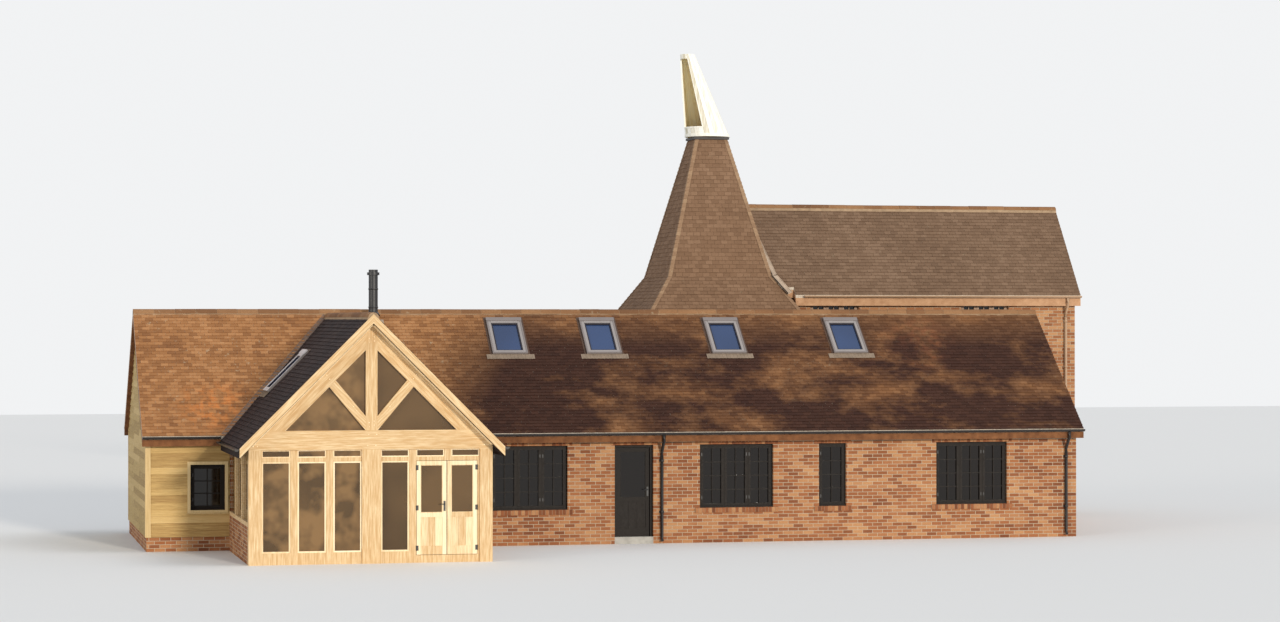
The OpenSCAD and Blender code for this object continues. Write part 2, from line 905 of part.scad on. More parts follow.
// Clear lights of one bay of the screen; the doors take the place of two of them
module screen_lights(x0, y0, thick, doors, play = 0) {
    for (i = [0 : 2])
        pane([x0 + i * (light_w + mullion_w), y0, transom_top],
            [light_w, thick, tie_z - transom_top], [play, 0, play]);
    for (i = [0 : doors ? 0 : 2])
        pane([x0 + i * (light_w + mullion_w), y0, floor_t + transom_h],
            [light_w, thick, transom_z - floor_t - transom_h], [play, 0, play]);
}

module wing_screen_frame() {
    color(oak)
        place() {
            difference() {
                block([left_bay_x, screen_y, 0],
                    [left_bay_x + half_bay_w, screen_y + mullion_d, tie_z]);
                screen_lights(left_bay_x, screen_y - cut, mullion_d + 2 * cut, false);
            }
            difference() {
                block([right_bay_x, screen_y, 0],
                    [right_bay_x + half_bay_w, screen_y + mullion_d, tie_z]);
                screen_lights(right_bay_x, screen_y - cut, mullion_d + 2 * cut, true);
                block([wing_doors_x0, screen_y - cut, floor_t],
                    [wing_doors_x0 + wing_doors_w, screen_y + mullion_d + cut, transom_z]);
            }
        }
}

module wing_glass() {
    color(glass_blue)
        place() {
            screen_lights(left_bay_x, screen_glass_y, glass_t, false, pane_play);
            screen_lights(right_bay_x, screen_glass_y, glass_t, true, pane_play);
            both_sides()
                wing_side_lights(wing_x0 + (mullion_d - glass_t) / 2, glass_t, pane_play);
            oak_plate(screen_glass_y, glass_t)
                offset(delta = -pane_play)
                    difference() {
                        gable_area(tie_top, rafter_w);
                        translate([wing_x - king_w / 2, tie_top - cut])
                            square([king_w, wing_ridge_z]);
                        strut_area();
                    }
        }
}

module wing_door_left() {
    color(oak)
        place()
            translate([wing_doors_x0 + leaf_gap, screen_y, floor_t + leaf_gap])
                glazed_leaf(wing_leaf_w, wing_leaf_h);
}

module wing_door_right() {
    color(oak)
        place()
            translate([wing_doors_x0 + wing_doors_w - leaf_gap, screen_y, floor_t + leaf_gap])
                mirror([1, 0, 0])
                    glazed_leaf(wing_leaf_w, wing_leaf_h);
}

// One slope of the wing roof, cut where it lands on the range roof
module wing_slope(eave_x) {
    difference() {
        along_y([[eave_x, wing_eave_z], [wing_x, wing_ridge_z], [wing_x, wing_under_apex],
            [eave_x, wing_eave_z - wing_drop]], wing_tip_y + barge_t, range_ridge_y);
        under_range_slope();
    }
}

module wing_roof_left() {
    color(wing_tiles)
        place()
            difference() {
                wing_slope(wing_eave_x0);
                on_wing_slope(wing_window_y, wing_window_up)
                    roof_window_hole();
            }
}

module wing_roof_right() {
    color(wing_tiles)
        place()
            wing_slope(wing_eave_x1);
}

module stove_flue() {
    color(iron)
        place()
            difference() {
                union() {
                    translate([flue_x, flue_y, range_eave_z])
                        cylinder(d = flue_d, h = flue_top_z - range_eave_z, $fn = 40);
                    translate([flue_x, flue_y, flue_top_z - flue_cap_h])
                        cylinder(d = flue_d + 2 * flue_cap_out, h = flue_cap_h / 2, $fn = 40);
                }
                under_range_slope();
            }
}

// Kiln

// Outline of the kiln roof's outside, from the middle of the kiln
function kiln_outside() = [[-kiln_eave_half, kiln_eave_z - flare_drop],
    [kiln_eave_half, kiln_eave_z - flare_drop], [kiln_eave_half, kiln_eave_z],
    [kiln_flare_half, kiln_flare_z], [kiln_top_half, kiln_top_z], [-kiln_top_half, kiln_top_z],
    [-kiln_flare_half, kiln_flare_z], [-kiln_eave_half, kiln_eave_z]];

// Outline of what lies under the kiln roof, down to the ground
function kiln_inside() = [[-kiln_half, 0], [kiln_half, 0], [kiln_half, flare_under(kiln_half)],
    [knee, flare_under(knee)], [kiln_inner_top, kiln_top_z], [-kiln_inner_top, kiln_top_z],
    [-knee, flare_under(knee)], [-kiln_half, flare_under(kiln_half)]];

// The solid that an outline makes when it is swept over both sides of the kiln
module kiln_form(outline) {
    translate([kiln_x, kiln_y, 0])
        intersection() {
            along_x(outline, -kiln_eave_half, kiln_eave_half);
            along_y(outline, -kiln_eave_half, kiln_eave_half);
        }
}

// The quarter of the kiln's plan that faces a side, 0 for the front, counted anticlockwise
module kiln_quarter(turn) {
    reach = 2 * kiln_eave_half;
    translate([kiln_x, kiln_y, 0])
        rotate([0, 0, 90 * turn])
            linear_extrude(2 * kiln_top_z)
                polygon([[0, 0], [-reach, -reach], [reach, -reach]]);
}

// One slope of the kiln roof: flare below, steep above
module kiln_slope(turn) {
    intersection() {
        translate([kiln_x, kiln_y, 0])
            rotate([0, 0, 90 * turn])
                along_x([[-kiln_eave_half, kiln_eave_z], [-kiln_eave_half, kiln_eave_z - flare_drop],
                    [-knee, flare_under(knee)], [-kiln_inner_top, kiln_top_z],
                    [-kiln_top_half, kiln_top_z], [-kiln_flare_half, kiln_flare_z]],
                    -kiln_eave_half, kiln_eave_half);
        kiln_quarter(turn);
    }
}

// The stowage's own ground, kept clear of the kiln roof
module stowage_ground() {
    block([stow_x0, stow_y0, 0], [stow_end_x, kiln_y1 + 2 * kiln_eave_out, kiln_top_z]);
}

module kiln_roof_front() {
    color(kiln_tiles)
        place()
            difference() {
                kiln_slope(0);
                stowage_ground();
            }
}

module kiln_roof_right() {
    color(kiln_tiles)
        place()
            difference() {
                kiln_slope(1);
                stowage_ground();
            }
}

module kiln_roof_rear() {
    color(kiln_tiles)
        place()
            difference() {
                kiln_slope(2);
                stowage_ground();
            }
}

module kiln_roof_left() {
    color(kiln_tiles)
        place()
            kiln_slope(3);
}

module kiln_front_wall() {
    color(brick)
        place()
            difference() {
                intersection() {
                    kiln_form(kiln_inside());
                    block([kiln_x0, kiln_y0, 0], [kiln_x1, kiln_y0 + wall_t, kiln_top_z]);
                }
                block([kiln_x - kiln_link_w / 2, kiln_y0 - cut, -cut],
                    [kiln_x + kiln_link_w / 2, kiln_y0 + wall_t + cut, floor_t + kiln_link_h]);
            }
}

module kiln_rear_wall() {
    color(brick)
        place()
            intersection() {
                kiln_form(kiln_inside());
                block([kiln_x0, kiln_y1 - wall_t, 0], [kiln_x1, kiln_y1, kiln_top_z]);
            }
}

module kiln_side_walls() {
    color(brick)
        place()
            difference() {
                intersection() {
                    kiln_form(kiln_inside());
                    union() {
                        block([kiln_x0, kiln_y0 + wall_t, 0],
                            [kiln_x0 + wall_t, kiln_y1 - wall_t, kiln_top_z]);
                        block([kiln_x1 - wall_t, kiln_y0 + wall_t, 0],
                            [kiln_x1, kiln_y1 - wall_t, kiln_top_z]);
                    }
                }
                block([kiln_x0 - cut, kiln_y - casement_w / 2, lower_head_z - casement_h],
                    [kiln_x0 + wall_t + cut, kiln_y + casement_w / 2, lower_head_z]);
            }
}

module kiln_curb() {
    inner = kiln_inner_top;
    color(oak)
        place()
            translate([kiln_x, kiln_y, kiln_top_z])
                difference() {
                    translate([-curb_half, -curb_half, 0])
                        cube([2 * curb_half, 2 * curb_half, curb_h]);
                    for (side = [-1, 1])
                        translate([-inner, side > 0 ? bearing_w / 2 : -inner, -cut])
                            cube([2 * inner, inner - bearing_w / 2, curb_h + 2 * cut]);
                    translate([0, 0, -cut])
                        cylinder(d = pivot_d + 2 * pivot_gap, h = curb_h + 2 * cut, $fn = 48);
                }
}

module kiln_pivot_beam() {
    color(oak)
        place()
            intersection() {
                kiln_form(kiln_inside());
                block([kiln_x0, kiln_y - bearing_w / 2, pivot_beam_z - pivot_beam_h],
                    [kiln_x1, kiln_y + bearing_w / 2, pivot_beam_z]);
            }
}

// Cowl

// Width of the cowl at a height
function cowl_width(z) = cowl_base_d - (cowl_base_d - cowl_top_d) * z / cowl_h;

// The leaning cone of the cowl, drawn in by a thickness
module cowl_cone(in) {
    hull() {
        translate([0, 0, -in])
            cylinder(d = cowl_base_d - 2 * in, h = cut, $fn = 32);
        translate([-cowl_lean, 0, cowl_h - cut - in])
            cylinder(d = cowl_top_d - 2 * in, h = cut, $fn = 32);
    }
}

// The open side of the cowl: a wedge that follows the leaning cone
module cowl_mouth() {
    hull()
        for (z = [cowl_sill_h, cowl_h - cowl_head_h])
            translate([-cowl_lean * z / cowl_h, 0, z])
                linear_extrude(cut)
                    rotate(180)
                        polygon([[0, 0],
                            for (side = [-1, 1])
                                2 * cowl_width(z) * [cos(cowl_mouth_half), side * sin(cowl_mouth_half)]]);
}

module cowl() {
    color(cream)
        place()
            translate([kiln_x, kiln_y, cowl_z])
                rotate([0, 0, cowl_turn])
                    difference() {
                        intersection() {
                            cowl_cone(0);
                            translate([-cowl_base_d, -cowl_base_d, 0])
                                cube([2 * cowl_base_d, 2 * cowl_base_d, cowl_h]);
                        }
                        cowl_cone(cowl_t);
                        cowl_mouth();
                    }
}

module cowl_pivot() {
    arm_z = cowl_z + cowl_arm_h;
    color(oak)
        place()
            translate([kiln_x, kiln_y, 0])
                rotate([0, 0, cowl_turn]) {
                    translate([0, 0, pivot_beam_z + bed])
                        cylinder(d = pivot_d, h = cowl_z + pivot_up - pivot_beam_z - bed, $fn = 48);
                    intersection() {
                        union() {
                            translate([-cowl_base_d, -pivot_d / 2, arm_z])
                                cube([2 * cowl_base_d, pivot_d, pivot_d]);
                            translate([-pivot_d / 2, -cowl_base_d, arm_z])
                                cube([pivot_d, 2 * cowl_base_d, pivot_d]);
                        }
                        translate([0, 0, cowl_z])
                            cowl_cone(cowl_t);
                    }
                }
}

// Stowage

function stow_wall_section() = [[stow_y0, 0], [stow_y0 + wall_t, 0],
    [stow_y0 + wall_t, stow_under(stow_y0 + wall_t)], [stow_y0, stow_under(stow_y0)]];

function stow_gable_outline() = [[stow_y0, 0], [stow_y1, 0], [stow_y1, stow_under(stow_y1)],
    [stow_ridge_y, stow_under(stow_ridge_y)], [stow_y0, stow_under(stow_y0)]];

// A window opening through a wall that runs along X
module wall_hole(x, y, head) {
    block([x - casement_w / 2, y - cut, head - casement_h], [x + casement_w / 2, y + wall_t + cut, head]);
}

module stowage_front_wall() {
    color(brick)
        place()
            difference() {
                along_x(stow_wall_section(), stow_x0 + wall_t, stow_end_x - wall_t);
                for (x = stow_windows)
                    wall_hole(x, stow_y0, upper_head_z);
            }
}

module stowage_rear_wall() {
    color(brick)
        place()
            difference() {
                rear_of(stow_ridge_y)
                    along_x(stow_wall_section(), stow_x0 + wall_t, stow_end_x - wall_t);
                for (x = stow_windows, head = [lower_head_z, upper_head_z])
                    wall_hole(x, stow_y1 - wall_t, head);
                block([oast_door_x, stow_y1 - wall_t - cut, -cut],
                    [oast_door_x + oast_door_w, stow_y1 + cut, lower_head_z]);
            }
}

module stowage_left_gable() {
    color(brick)
        place()
            along_x(stow_gable_outline(), stow_x0, stow_x0 + wall_t);
}

module stowage_right_gable() {
    color(brick)
        place()
            difference() {
                along_x(stow_gable_outline(), stow_end_x - wall_t, stow_end_x);
                for (head = [lower_head_z, upper_head_z])
                    block([stow_end_x - wall_t - cut, stow_ridge_y - casement_w / 2, head - casement_h],
                        [stow_end_x + cut, stow_ridge_y + casement_w / 2, head]);
            }
}

// One slope of the stowage, run on to the left until it meets the kiln roof
module stowage_slope() {
    difference() {
        along_x([[stow_y0 - stow_eave_out, stow_eave_z], [stow_ridge_y, stow_ridge_z],
            [stow_ridge_y, stow_ridge_z - stow_drop],
            [stow_y0 - stow_eave_out, stow_eave_z - stow_drop]], kiln_x, stow_end_x + stow_verge);
        block([kiln_x - cut, stow_y0 - 2 * stow_eave_out, 0], [stow_x0, stow_y0, kiln_top_z]);
    }
}

// What the stowage roof must leave to the kiln roof
module kiln_share() {
    kiln_form(kiln_outside());
    for (turn = [0, 2])
        intersection() {
            kiln_quarter(turn);
            block([kiln_x - kiln_w, kiln_y0 - kiln_w, 0], [stow_x0, kiln_y1 + kiln_w, kiln_top_z]);
        }
}

module stowage_roof_front() {
    color(stow_tiles)
        place()
            difference() {
                stowage_slope();
                kiln_share();
            }
}

module stowage_roof_rear() {
    color(stow_tiles)
        place()
            difference() {
                rear_of(stow_ridge_y)
                    stowage_slope();
                kiln_share();
            }
}

module oast_frames() {
    color(cream)
        place() {
            oast_windows(false);
            difference() {
                block([oast_door_x, stow_y1 - frame_in - frame_d, floor_t],
                    [oast_door_x + oast_door_w, stow_y1 - frame_in, lower_head_z]);
                block([oast_door_x + frame_w, 0, floor_t - cut],
                    [oast_door_x + oast_door_w - frame_w, stow_y1 + cut, lower_head_z - frame_w]);
            }
        }
}

module oast_door() {
    color(dark_paint)
        place()
            block([oast_door_x + frame_w, stow_y1 - frame_in - leaf_t, floor_t],
                [oast_door_x + oast_door_w - frame_w, stow_y1 - frame_in, lower_head_z - frame_w]);
}

// Ridges, gutters and lead

// A half-round ridge tile over two slopes that fall by a given tangent
module ridge_cap(slope) {
    difference() {
        translate([0, ridge_rise - ridge_r])
            circle(r = ridge_r, $fn = 32);
        polygon([[0, bed], [-4 * ridge_r, bed - 4 * ridge_r * slope],
            [4 * ridge_r, bed - 4 * ridge_r * slope]]);
    }
}

module ridge_tiles() {
    color(tiles)
        place() {
            difference() {
                translate([-range_verge, range_ridge_y, range_ridge_z])
                    rotate([90, 0, 90])
                        linear_extrude(range_len + 2 * range_verge)
                            ridge_cap(range_tan);
                translate([0, 0, bed])
                    along_y([[wing_x, wing_ridge_z], [wing_x0, wing_top(wing_x0)],
                        [wing_x1, wing_top(wing_x1)]], wing_tip_y, range_ridge_y);
            }
            difference() {
                translate([wing_x, range_ridge_y, wing_ridge_z])
                    rotate([90, 0, 0])
                        linear_extrude(range_ridge_y - wing_tip_y)
                            ridge_cap(wing_tan);
                under_range_slope();
            }
            difference() {
                translate([kiln_x, stow_ridge_y, stow_ridge_z])
                    rotate([90, 0, 90])
                        linear_extrude(stow_end_x + stow_verge - kiln_x)
                            ridge_cap(stow_tan);
                kiln_form(kiln_outside());
            }
        }
}

// A gutter's cross-section, its back at the eave and its rim at the tile edge
function gutter_section() = [[0, -gutter_h], [gutter_w, -gutter_h], [gutter_w, 0],
    [gutter_w - gutter_t, 0], [gutter_w - gutter_t, gutter_t - gutter_h],
    [gutter_t, gutter_t - gutter_h], [gutter_t, 0], [0, 0]];

// A gutter along X that faces the front
module front_gutter(y, z, x0, x1) {
    translate([0, y, z])
        mirror([0, 1, 0])
            along_x(gutter_section(), x0, x1);
}

module gutters() {
    range_eave_y = -range_eave_out;
    stow_eave_y = stow_y0 - stow_eave_out;
    color(iron)
        place() {
            front_gutter(range_eave_y, range_eave_z, -range_verge, wing_eave_x0);
            front_gutter(range_eave_y, range_eave_z, wing_eave_x1, range_len + range_verge);
            rear_of(range_ridge_y)
                front_gutter(range_eave_y, range_eave_z, -range_verge, kiln_x0);
            front_gutter(stow_eave_y, stow_eave_z, kiln_x + kiln_eave_half, stow_end_x + stow_verge);
            rear_of(stow_ridge_y)
                front_gutter(stow_eave_y, stow_eave_z, kiln_x + kiln_eave_half,
                    stow_end_x + stow_verge);
            both_sides()
                translate([wing_eave_x0, 0, wing_eave_z])
                    mirror([1, 0, 0])
                        along_y(gutter_section(), wing_tip_y + barge_t, range_eave_y - gutter_w);
        }
}

module lead_gutter() {
    foot_y = range_w - lead_w;
    sole_z = range_top(foot_y) - lead_depth;
    edge_y = kiln_y0 - lead_w;
    color(lead_grey)
        place() {
            along_x([[foot_y, range_under(foot_y)], [range_w, range_under(range_w)],
                [range_w, sole_z + lead_up], [range_w - lead_t, sole_z + lead_up],
                [range_w - lead_t, sole_z], [foot_y, sole_z]], kiln_x1, range_len + range_verge);
            along_x([[edge_y, range_top(edge_y) + bed], [kiln_y0, range_top(kiln_y0) + bed],
                [kiln_y0, range_top(edge_y) + lead_up], [kiln_y0 - lead_t, range_top(edge_y) + lead_up],
                [kiln_y0 - lead_t, range_top(kiln_y0) + lead_depth]], kiln_x0, kiln_x1);
        }
}

range_floor();
wing_floor();
oast_floor();
range_front_wall_left();
range_front_wall_mid();
range_door_head();
range_front_wall_right();
range_left_gable();
range_right_gable();
range_rear_wall();
range_roof_front();
range_roof_rear();
range_frames();
window_glass();
range_door_frame();
range_door();
roof_window_frames();
roof_window_glass();
wing_dwarf_walls();
wing_side_frames();
wing_posts();
wing_tie_beam();
wing_king_post();
wing_struts();
wing_principal_rafters();
wing_bargeboards();
wing_screen_frame();
wing_glass();
wing_door_left();
wing_door_right();
wing_roof_left();
wing_roof_right();
stove_flue();
kiln_front_wall();
kiln_side_walls();
kiln_rear_wall();
kiln_roof_front();
kiln_roof_left();
kiln_roof_right();
kiln_roof_rear();
kiln_curb();
kiln_pivot_beam();
cowl();
cowl_pivot();
stowage_front_wall();
stowage_rear_wall();
stowage_left_gable();
stowage_right_gable();
stowage_upper_floor();
stowage_roof_front();
stowage_roof_rear();
oast_frames();
oast_door();
ridge_tiles();
gutters();
lead_gutter();
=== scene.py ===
"""Looks of the oast house. Lengths are metres in the row's frame: -Y is the front, +Z is up."""
import fnmatch
import math
import random

import bpy
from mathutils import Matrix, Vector


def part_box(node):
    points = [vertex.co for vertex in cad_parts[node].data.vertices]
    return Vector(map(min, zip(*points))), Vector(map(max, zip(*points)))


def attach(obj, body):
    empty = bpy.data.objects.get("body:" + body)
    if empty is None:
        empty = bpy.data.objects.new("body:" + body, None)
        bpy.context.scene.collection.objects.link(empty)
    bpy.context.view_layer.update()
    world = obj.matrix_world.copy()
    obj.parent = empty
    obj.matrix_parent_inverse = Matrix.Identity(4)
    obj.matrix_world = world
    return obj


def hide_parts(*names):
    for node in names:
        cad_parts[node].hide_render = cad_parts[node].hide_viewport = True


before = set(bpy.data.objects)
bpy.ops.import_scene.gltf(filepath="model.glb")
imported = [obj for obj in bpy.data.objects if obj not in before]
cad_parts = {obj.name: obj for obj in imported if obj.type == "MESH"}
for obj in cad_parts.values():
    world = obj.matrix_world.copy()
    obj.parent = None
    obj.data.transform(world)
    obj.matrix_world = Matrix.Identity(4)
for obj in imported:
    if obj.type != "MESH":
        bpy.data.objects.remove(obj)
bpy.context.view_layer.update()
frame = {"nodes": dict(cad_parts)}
rng = random.Random(7)
UP = Vector((0, 0, 1))
SOUTH, NORTH, EAST, WEST = (Vector(way) for way in ((0, -1, 0), (0, 1, 0), (1, 0, 0), (-1, 0, 0)))

# Where the range's left front corner lies in the row's frame
MID_X, MID_Y = (round(-float(v), 4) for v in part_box("range_left_gable")[0][:2])


def at(x, y, z):
    """A place given from the range's left front corner, in the row's frame."""
    return Vector((x - MID_X, y - MID_Y, z))


def corners(name):
    """A node's lowest and highest corner, measured from the range's left front corner."""
    shift = (MID_X, MID_Y, 0.0)
    return [[round(float(v) + s, 4) for v, s in zip(corner, shift)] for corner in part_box(name)]


# Sizes of the building, as in the CAD: eaves, roofs' edges and ridges
RANGE_LEN, RANGE_W, _ = corners("range_right_gable")[1]
(ROOF_X0, FRONT_EDGE, _), (ROOF_X1, RIDGE_Y, RANGE_TOP) = corners("range_roof_front")
REAR_EDGE = corners("range_roof_rear")[1][1]
(WING_X0, WING_TIP, _), (WX, _, WING_TOP) = corners("wing_roof_left")
(KILN_X0, KILN_Y0, _), (KILN_X1, _, KILN_TOP) = corners("kiln_roof_front")
STOW_X0, STOW_Y0, _ = corners("stowage_left_gable")[0]
STOW_X1, STOW_Y1, _ = corners("stowage_right_gable")[1]
(_, STOW_FRONT_EDGE, _), (STOW_ROOF_X1, STOW_RIDGE_Y, _) = corners("stowage_roof_front")
STOW_REAR_EDGE = corners("stowage_roof_rear")[1][1]
EAVE_Z, WING_EAVE, STOW_EAVE = 2.4, 2.30, 5.39
RANGE_PITCH = math.radians(40)
RANGE_TAN, WING_TAN, STOW_TAN = math.tan(RANGE_PITCH), 1.0, math.tan(math.radians(51))
WING_X1, WING_HALF = 2 * WX - WING_X0, WX - WING_X0
# Where the wing's ridge runs into the range's roof
VALLEY_Y = round(FRONT_EDGE + (WING_TOP - EAVE_Z) / RANGE_TAN, 3)
KX, KY = (KILN_X0 + KILN_X1) / 2, KILN_Y0 + (KILN_X1 - KILN_X0) / 2
# The kiln's roof in two parts: half its width and its height at the foot and at the top of each
KNEE_HALF, KNEE_Z = 1.25, 5.82
KILN_PARTS = (((KILN_X1 - KILN_X0) / 2, 4.82, KNEE_HALF, KNEE_Z), (KNEE_HALF, KNEE_Z, 0.38, KILN_TOP))


def range_top(y):
    """Height of the range's roof over a place across it."""
    return EAVE_Z + (min(y, RANGE_W - y) - FRONT_EDGE) * RANGE_TAN


def stow_top(y):
    """Height of the stowage's roof over a place across it."""
    return STOW_EAVE + (min(y - STOW_Y0, STOW_Y1 - y) + STOW_Y0 - STOW_FRONT_EDGE) * STOW_TAN


STOW_TOP = stow_top(STOW_RIDGE_Y)


pieces = []


class Shape:
    """One visible piece: it collects faces with a tone each, and is built at the end."""

    def __init__(self, name, paint, slot, body="house", stands_for=()):
        self.name, self.paint, self.slot, self.body, self.stands_for = name, paint, slot, body, stands_for
        self.verts, self.faces, self.tones, self.smooth = [], [], [], []
        pieces.append(self)

    def add(self, points, faces, tone, smooth):
        """Points, and faces that number them from the first; smooth has a flag for each face."""
        start = len(self.verts)
        self.verts.extend(tuple(p) for p in points)
        self.faces.extend([start + i for i in ids] for ids in faces)
        self.tones.extend([tone] * len(faces))
        self.smooth.extend(smooth)

    def face(self, points, tone=0.5, smooth=False):
        self.add(points, [range(len(points))], tone, [smooth])

    def hull(self, bottom, top, tone=0.5):
        """A closed prism between two outlines of the same length."""
        n = len(bottom)
        sides = [(i, (i + 1) % n, n + (i + 1) % n, n + i) for i in range(n)]
        self.add([*bottom, *top], [range(n - 1, -1, -1), range(n, 2 * n), *sides], tone,
                 [False] * (n + 2))

    def block(self, base, rise, tone=0.5):
        """A prism that stands on an outline and rises by a vector."""
        self.hull(base, [p + rise for p in base], tone)

    def box(self, low, high):
        """A box with its edges along the axes, between two corners."""
        self.block([Vector((x, y, low.z)) for x, y in rect(low.x, high.x, low.y, high.y)],
                   UP * (high.z - low.z))

    def tube(self, path, radius, sides=12, tone=0.5):
        """A round tube along points; radius may be a list."""
        radii = radius if isinstance(radius, list) else [radius] * len(path)
        points, skin = [], []
        for i, p in enumerate(path):
            axis = (path[min(i + 1, len(path) - 1)] - path[max(i - 1, 0)]).normalized()
            side = axis.cross(UP)
            if side.length < 0.1:
                side = axis.cross(EAST)
            side.normalize()
            over = side.cross(axis)
            for turn in (2 * math.pi * k / sides for k in range(sides)):
                points.append(p + side * math.cos(turn) * radii[i] + over * math.sin(turn) * radii[i])
        last = len(points) - sides
        for a in range(0, last, sides):
            for k in range(sides):
                b = (k + 1) % sides
                skin.append((a + k, a + b, a + sides + b, a + sides + k))
        caps = [range(sides - 1, -1, -1), range(last, last + sides)]
        self.add(points, skin + caps, tone, [True] * len(skin) + [False] * 2)

    def build(self):
        mesh = bpy.data.meshes.new(self.name)
        mesh.from_pydata(self.verts, [], self.faces)
        tones = mesh.attributes.new("tone", "FLOAT", "FACE")
        tones.data.foreach_set("value", self.tones)
        mesh.polygons.foreach_set("use_smooth", self.smooth)
        mesh.materials.append(self.paint)
        mesh.update()
        piece = put(self.name, mesh)
        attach(piece, self.body)
        if self.stands_for:
            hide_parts(*self.stands_for)


def put(name, data):
    """A new object in the scene that shows some data."""
    thing = bpy.data.objects.new(name, data)
    bpy.context.scene.collection.objects.link(thing)
    return thing


def rect(u0, u1, s0, s1):
    """A rectangle as an outline in anticlockwise order."""
    return [(u0, s0), (u1, s0), (u1, s1), (u0, s1)]


def area_of(poly):
    """The area of a flat outline, positive in anticlockwise order."""
    return 0.5 * sum(p[0] * q[1] - q[0] * p[1] for p, q in zip(poly, poly[1:] + poly[:1]))


def turned_left(poly):
    """The outline in anticlockwise order."""
    return poly if area_of(poly) > 0 else poly[::-1]


class Plane:
    """A wall or a roof slope: u runs along it, s runs up it, and h stands out of it."""

    def __init__(self, foot, along, up=UP):
        self.foot, self.along, self.up = foot, along.normalized(), up.normalized()
        self.out = self.along.cross(self.up)

    def point(self, u, s, h=0.0):
        return self.foot + self.along * u + self.up * s + self.out * h

    def flat(self, place):
        """The u and s of a place on the plane."""
        d = place - self.foot
        return (d.dot(self.along), d.dot(self.up))

    def bar(self, shape, u0, u1, s0, s1, h0, h1, tone=0.5):
        shape.block([self.point(u, s, h0) for u, s in rect(u0, u1, s0, s1)], self.out * (h1 - h0), tone)

    def ring(self, shape, u0, u1, s0, s1, h0, h1, face):
        """Four members of one width round a rectangle, with one tone drawn for all."""
        tone = rng.random()
        for a, b, c, d in ((u0, u0 + face, s0, s1), (u1 - face, u1, s0, s1),
                           (u0 + face, u1 - face, s0, s0 + face), (u0 + face, u1 - face, s1 - face, s1)):
            self.bar(shape, a, b, c, d, h0, h1, tone)


# Walls seen square on: the front, the back, the right end and the left end
FRONT, BACK, RIGHT, LEFT = EAST, WEST, NORTH, SOUTH


def lin(colour):
    """A colour as a shader wants it, from how it looks on a screen, 0 to 255."""
    return tuple((c / 255) ** 2.2 for c in colour)


def shade(colour, share):
    """A colour made darker or lighter."""
    return tuple(min(1, c * share) for c in colour)


class Graph:
    """Short names for the nodes that a material or the world is made from."""

    def __init__(self, tree):
        self.tree = tree

    def wire(self, source, socket):
        if isinstance(source, bpy.types.NodeSocket):
            self.tree.links.new(source, socket)
        elif socket.type == "RGBA" and len(source) == 3:
            socket.default_value = (*source, 1)
        else:
            socket.default_value = source

    def node(self, kind, inputs=(), **settings):
        """A node with its settings, and its inputs wired or set by name or number."""
        n = self.tree.nodes.new("ShaderNode" + kind)
        for key, value in settings.items():
            setattr(n, key, value)
        for key, value in dict(inputs).items():
            self.wire(value, n.inputs[key])
        return n

    def calc(self, what, a, b=0.0):
        return self.node("Math", {0: a, 1: b}, operation=what).outputs[0]

    def times(self, a, b):
        return self.calc("MULTIPLY", a, b)

    def plus(self, a, b):
        return self.calc("ADD", a, b)

    def away(self, a, b):
        """How far two values lie apart."""
        return self.calc("ABSOLUTE", self.calc("SUBTRACT", a, b))


class Paint(Graph):
    """A procedural material, placed by the object's own coordinates."""

    def __init__(self, name, rough=0.7, spec=0.3):
        self.mat = bpy.data.materials.new(name)
        self.mat.use_nodes = True
        super().__init__(self.mat.node_tree)
        self.bsdf = self.tree.nodes["Principled BSDF"]
        self.set("Roughness", rough)
        self.set("Specular IOR Level", spec)
        self.place = self.node("TexCoord").outputs["Object"]

    def set(self, name, value):
        self.wire(value, self.bsdf.inputs[name])

    def colour(self, value):
        self.set("Base Color", value)

    def noise(self, scale, detail=3.0, source=None, rough=0.5):
        return self.node("TexNoise", {"Vector": source or self.place, "Scale": scale, "Detail": detail,
                                      "Roughness": rough}).outputs["Fac"]

    def stretch(self, scale, source=None):
        return self.node("Mapping", {"Vector": source or self.place, "Scale": scale}).outputs["Vector"]

    def tone(self):
        return self.node("Attribute", attribute_name="tone").outputs["Fac"]

    def axis(self, name):
        return self.node("SeparateXYZ", {0: self.place}).outputs[name]

    def join(self, *xyz):
        return self.node("CombineXYZ", enumerate(xyz)).outputs[0]

    def span(self, value, low, high, to_low=0.0, to_high=1.0):
        """A value's way from low to high, as a share from to_low to to_high."""
        return self.node("MapRange", {"Value": value, "From Min": low, "From Max": high,
                                      "To Min": to_low, "To Max": to_high}).outputs["Result"]

    def ramp(self, value, *stops):
        """A colour by a value; each stop is a place from 0 to 1 and its colour."""
        n = self.node("ValToRGB", {"Fac": value})
        marks = n.color_ramp.elements
        while len(marks) < len(stops):
            marks.new(0.5)
        for mark, (where, colour) in zip(marks, stops):
            mark.position = where
            mark.color = (*colour, 1)
        return n.outputs["Color"]

    def blend(self, share, a, b):
        return self.node("Mix", {0: share, 6: a, 7: b}, data_type="RGBA").outputs[2]

    def bump(self, height, distance, strength):
        """Adds relief to what the surface has already."""
        n = self.node("Bump", {"Height": height, "Distance": distance, "Strength": strength})
        normal = self.bsdf.inputs["Normal"]
        if normal.links:
            self.wire(normal.links[0].from_socket, n.inputs["Normal"])
        self.wire(n.outputs["Normal"], normal)


